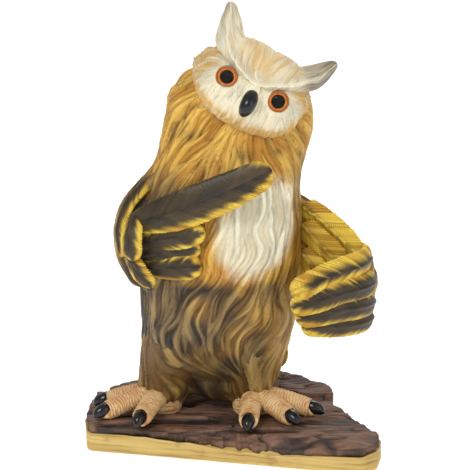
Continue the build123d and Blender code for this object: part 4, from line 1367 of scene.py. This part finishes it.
def buildBark():
    # level rings out from the middle, dropped at the front edge, then one wall ring down inside the slab
    ray, reach = outlineOf("base_slab", baseLook["barkColumns"])
    k = np.linspace(0.004, 1, 150)
    loop = np.stack([ray[:, 0] * 60, ray[:, 1] * 60, 0 * reach], -1)
    chips = 3.0 * np.abs(cellNoise(loop, 5, 206)) + 1.0 * np.abs(cellNoise(loop, 1.7, 207))
    R = reach - baseLook["barkInset"] - chips * (0.35 + 0.65 * smoothstep(0, -30, reach * ray[:, 1]))
    x = k[:, None] * R * ray[:, 0]
    y = k[:, None] * R * ray[:, 1]
    h, crack = barkHeight(x, y)
    rim = smoothstep(0.80, 0.97, k)[:, None] * smoothstep(-20, 20, y)
    top = np.clip(-0.9 + h * 0.85, -2.6, 0.9) + 1.5 * rim + barkStep(x, y)
    front = smoothstep(0.86, 1.0, k)[:, None] * smoothstep(-15, -40, y)
    top = top * (1 - front) + (-2.2 + 0.4 * h - frontDip(x, y)) * front
    P = np.stack([x, y, top], -1)
    wall = np.stack([x[-1], y[-1], baseLook["barkWall"] - frontDip(x[-1], y[-1])], -1)[None]
    P = np.concatenate([P, wall], 0)
    groove = np.clip(crack + smoothstep(-0.4, -1.6, h), 0, 1)
    raised = smoothstep(-0.2, 1.2, h)
    values = {"groove": np.vstack([groove, groove[-1:]]), "raised": np.vstack([raised, raised[-1:]])}
    addPiece("barkTop", P, barkPaint, ["base_bark"], values)


def buildSlab():
    # floor rings, a wall that is worn and chipped, and a rim that turns in under the bark
    ray, reach = outlineOf("base_slab", baseLook["slabColumns"])
    low = (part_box("base_slab")[0].z - groundZ) / mm
    high = (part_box("base_slab")[1].z - groundZ) / mm
    tall = np.linspace(0, 1, 44)
    edgeX, edgeY = reach * ray[:, 0], reach * ray[:, 1]
    wander = 1.2 * cellNoise(np.stack([ray[:, 0] * 60, ray[:, 1] * 60, 0 * reach], -1), 6, 215)
    rimZ = high - frontDip(edgeX, edgeY) + wander
    z = low + (rimZ[None] - low) * tall[:, None]
    loop = np.stack([ray[:, 0] * 70, ray[:, 1] * 70, 0 * reach], -1)
    at = loop[None] + np.stack([0 * tall, 0 * tall, tall * 13], -1)[:, None]
    grain = cellNoise(at * np.array([0.08, 0.08, 1]), 1.3, 211)
    chip = np.maximum(cellNoise(at, 9, 212) - 0.25, 0) * 3.0 * smoothstep(0.55, 1.0, tall)[:, None]
    fromEdge = 1 - np.clip(tall * 15 / 1.8, 0, 1)
    rounding = 1.6 * (1 - np.sqrt(np.clip(1 - fromEdge**2, 0, 1)))[:, None]
    inset = 0.35 * grain + 0.5 * cellNoise(at, 14, 213) + chip + rounding + 0.6
    r = reach[None] - inset
    wall = np.stack([r * ray[:, 0], r * ray[:, 1], z], -1)
    k = np.array([0.05, 0.4, 0.8, 0.95])
    floorReach = k[:, None] * r[0]
    floor = np.stack([floorReach * ray[:, 0], floorReach * ray[:, 1], low + 0 * floorReach], -1)
    kTop = np.r_[np.linspace(0.995, 0.90, 12), 0.6, 0.1]
    topX, topY = kTop[:, None] * r[-1] * ray[:, 0], kTop[:, None] * r[-1] * ray[:, 1]
    inner = smoothstep(1.0, 0.93, kTop)[:, None]
    top = np.stack([topX, topY, rimZ[None] * (1 - inner) + (high - 2.5) * inner], -1)
    P = np.concatenate([floor, wall, top], 0)
    groove = np.zeros(P.shape[:2])
    groove[len(k):len(k) + len(tall)] = smoothstep(0.2, 0.8, grain) * 0.8
    raised = 1 - groove
    addPiece("sawnSlab", P, sawnPaint, ["base_slab"], {"groove": groove, "raised": raised})


buildSlab()
buildBark()
print("base done")



lightLook = (  # name, place and size in metres, power in watts
    ("key", (-0.7, -1.2, 1.35), 0.7, 17),
    ("fill", (1.2, -1.0, 0.7), 1.1, 5),
    ("rim", (0.3, 1.2, 1.1), 0.8, 7),
)
floorHalf = 4.0


def addRoom():
    floor = bpy.data.meshes.new("floor")
    corners = [(x * floorHalf, y * floorHalf, 0) for x, y in ((-1, -1), (1, -1), (1, 1), (-1, 1))]
    floor.from_pydata(corners, [], [(0, 1, 2, 3)])
    piece = bpy.data.objects.new("floor", floor)
    bpy.context.collection.objects.link(piece)
    material = newMaterial("paleFloor", Base_Color=(0.8, 0.8, 0.8), Roughness=0.9, Specular_IOR_Level=0.0,
                           Emission_Color=(1, 1, 1), Emission_Strength=0.6)[0]
    floor.materials.append(material)
    world = bpy.data.worlds.new("studio")
    bpy.context.scene.world = world
    world.use_nodes = True
    world.node_tree.nodes["Background"].inputs["Color"].default_value = (1, 1, 1, 1)
    rays = world.node_tree.nodes.new("ShaderNodeLightPath")
    seen = mathStep(world.node_tree, "MULTIPLY", rays.outputs["Is Camera Ray"], 0.5)
    setSocket(world.node_tree, world.node_tree.nodes["Background"].inputs["Strength"],
              mathStep(world.node_tree, "ADD", seen, 0.5))
    for name, at, size, power in lightLook:
        light = bpy.data.lights.new(name, "AREA")
        light.size = size
        light.energy = power
        lamp = bpy.data.objects.new(name, light)
        bpy.context.collection.objects.link(lamp)
        lamp.location = at
        lamp.rotation_euler = (Vector((0, 0, 0.14)) - Vector(at)).to_track_quat("-Z", "Y").to_euler()


view = {"lift": groundZ + 0.005 - 0.018,  # the view was set for an owl standing 18 mm up
        "from": (0, -1.178, 0.430), "aim": (0, -0.028, 0.140), "lens": 141.7}


def addCamera():
    data = bpy.data.cameras.new("camera")
    camera = bpy.data.objects.new("camera", data)
    bpy.context.collection.objects.link(camera)
    lift = Vector((0, 0, view["lift"]))
    camera.location = Vector(view["from"]) + lift
    aim = Vector(view["aim"]) + lift - camera.location
    camera.rotation_euler = aim.to_track_quat("-Z", "Y").to_euler()
    data.sensor_width = 36
    data.lens = view["lens"]
    data.clip_start, data.clip_end = 0.05, 20
    bpy.context.scene.camera = camera


addRoom()
addCamera()
bpy.context.scene.view_settings.view_transform = "Standard"
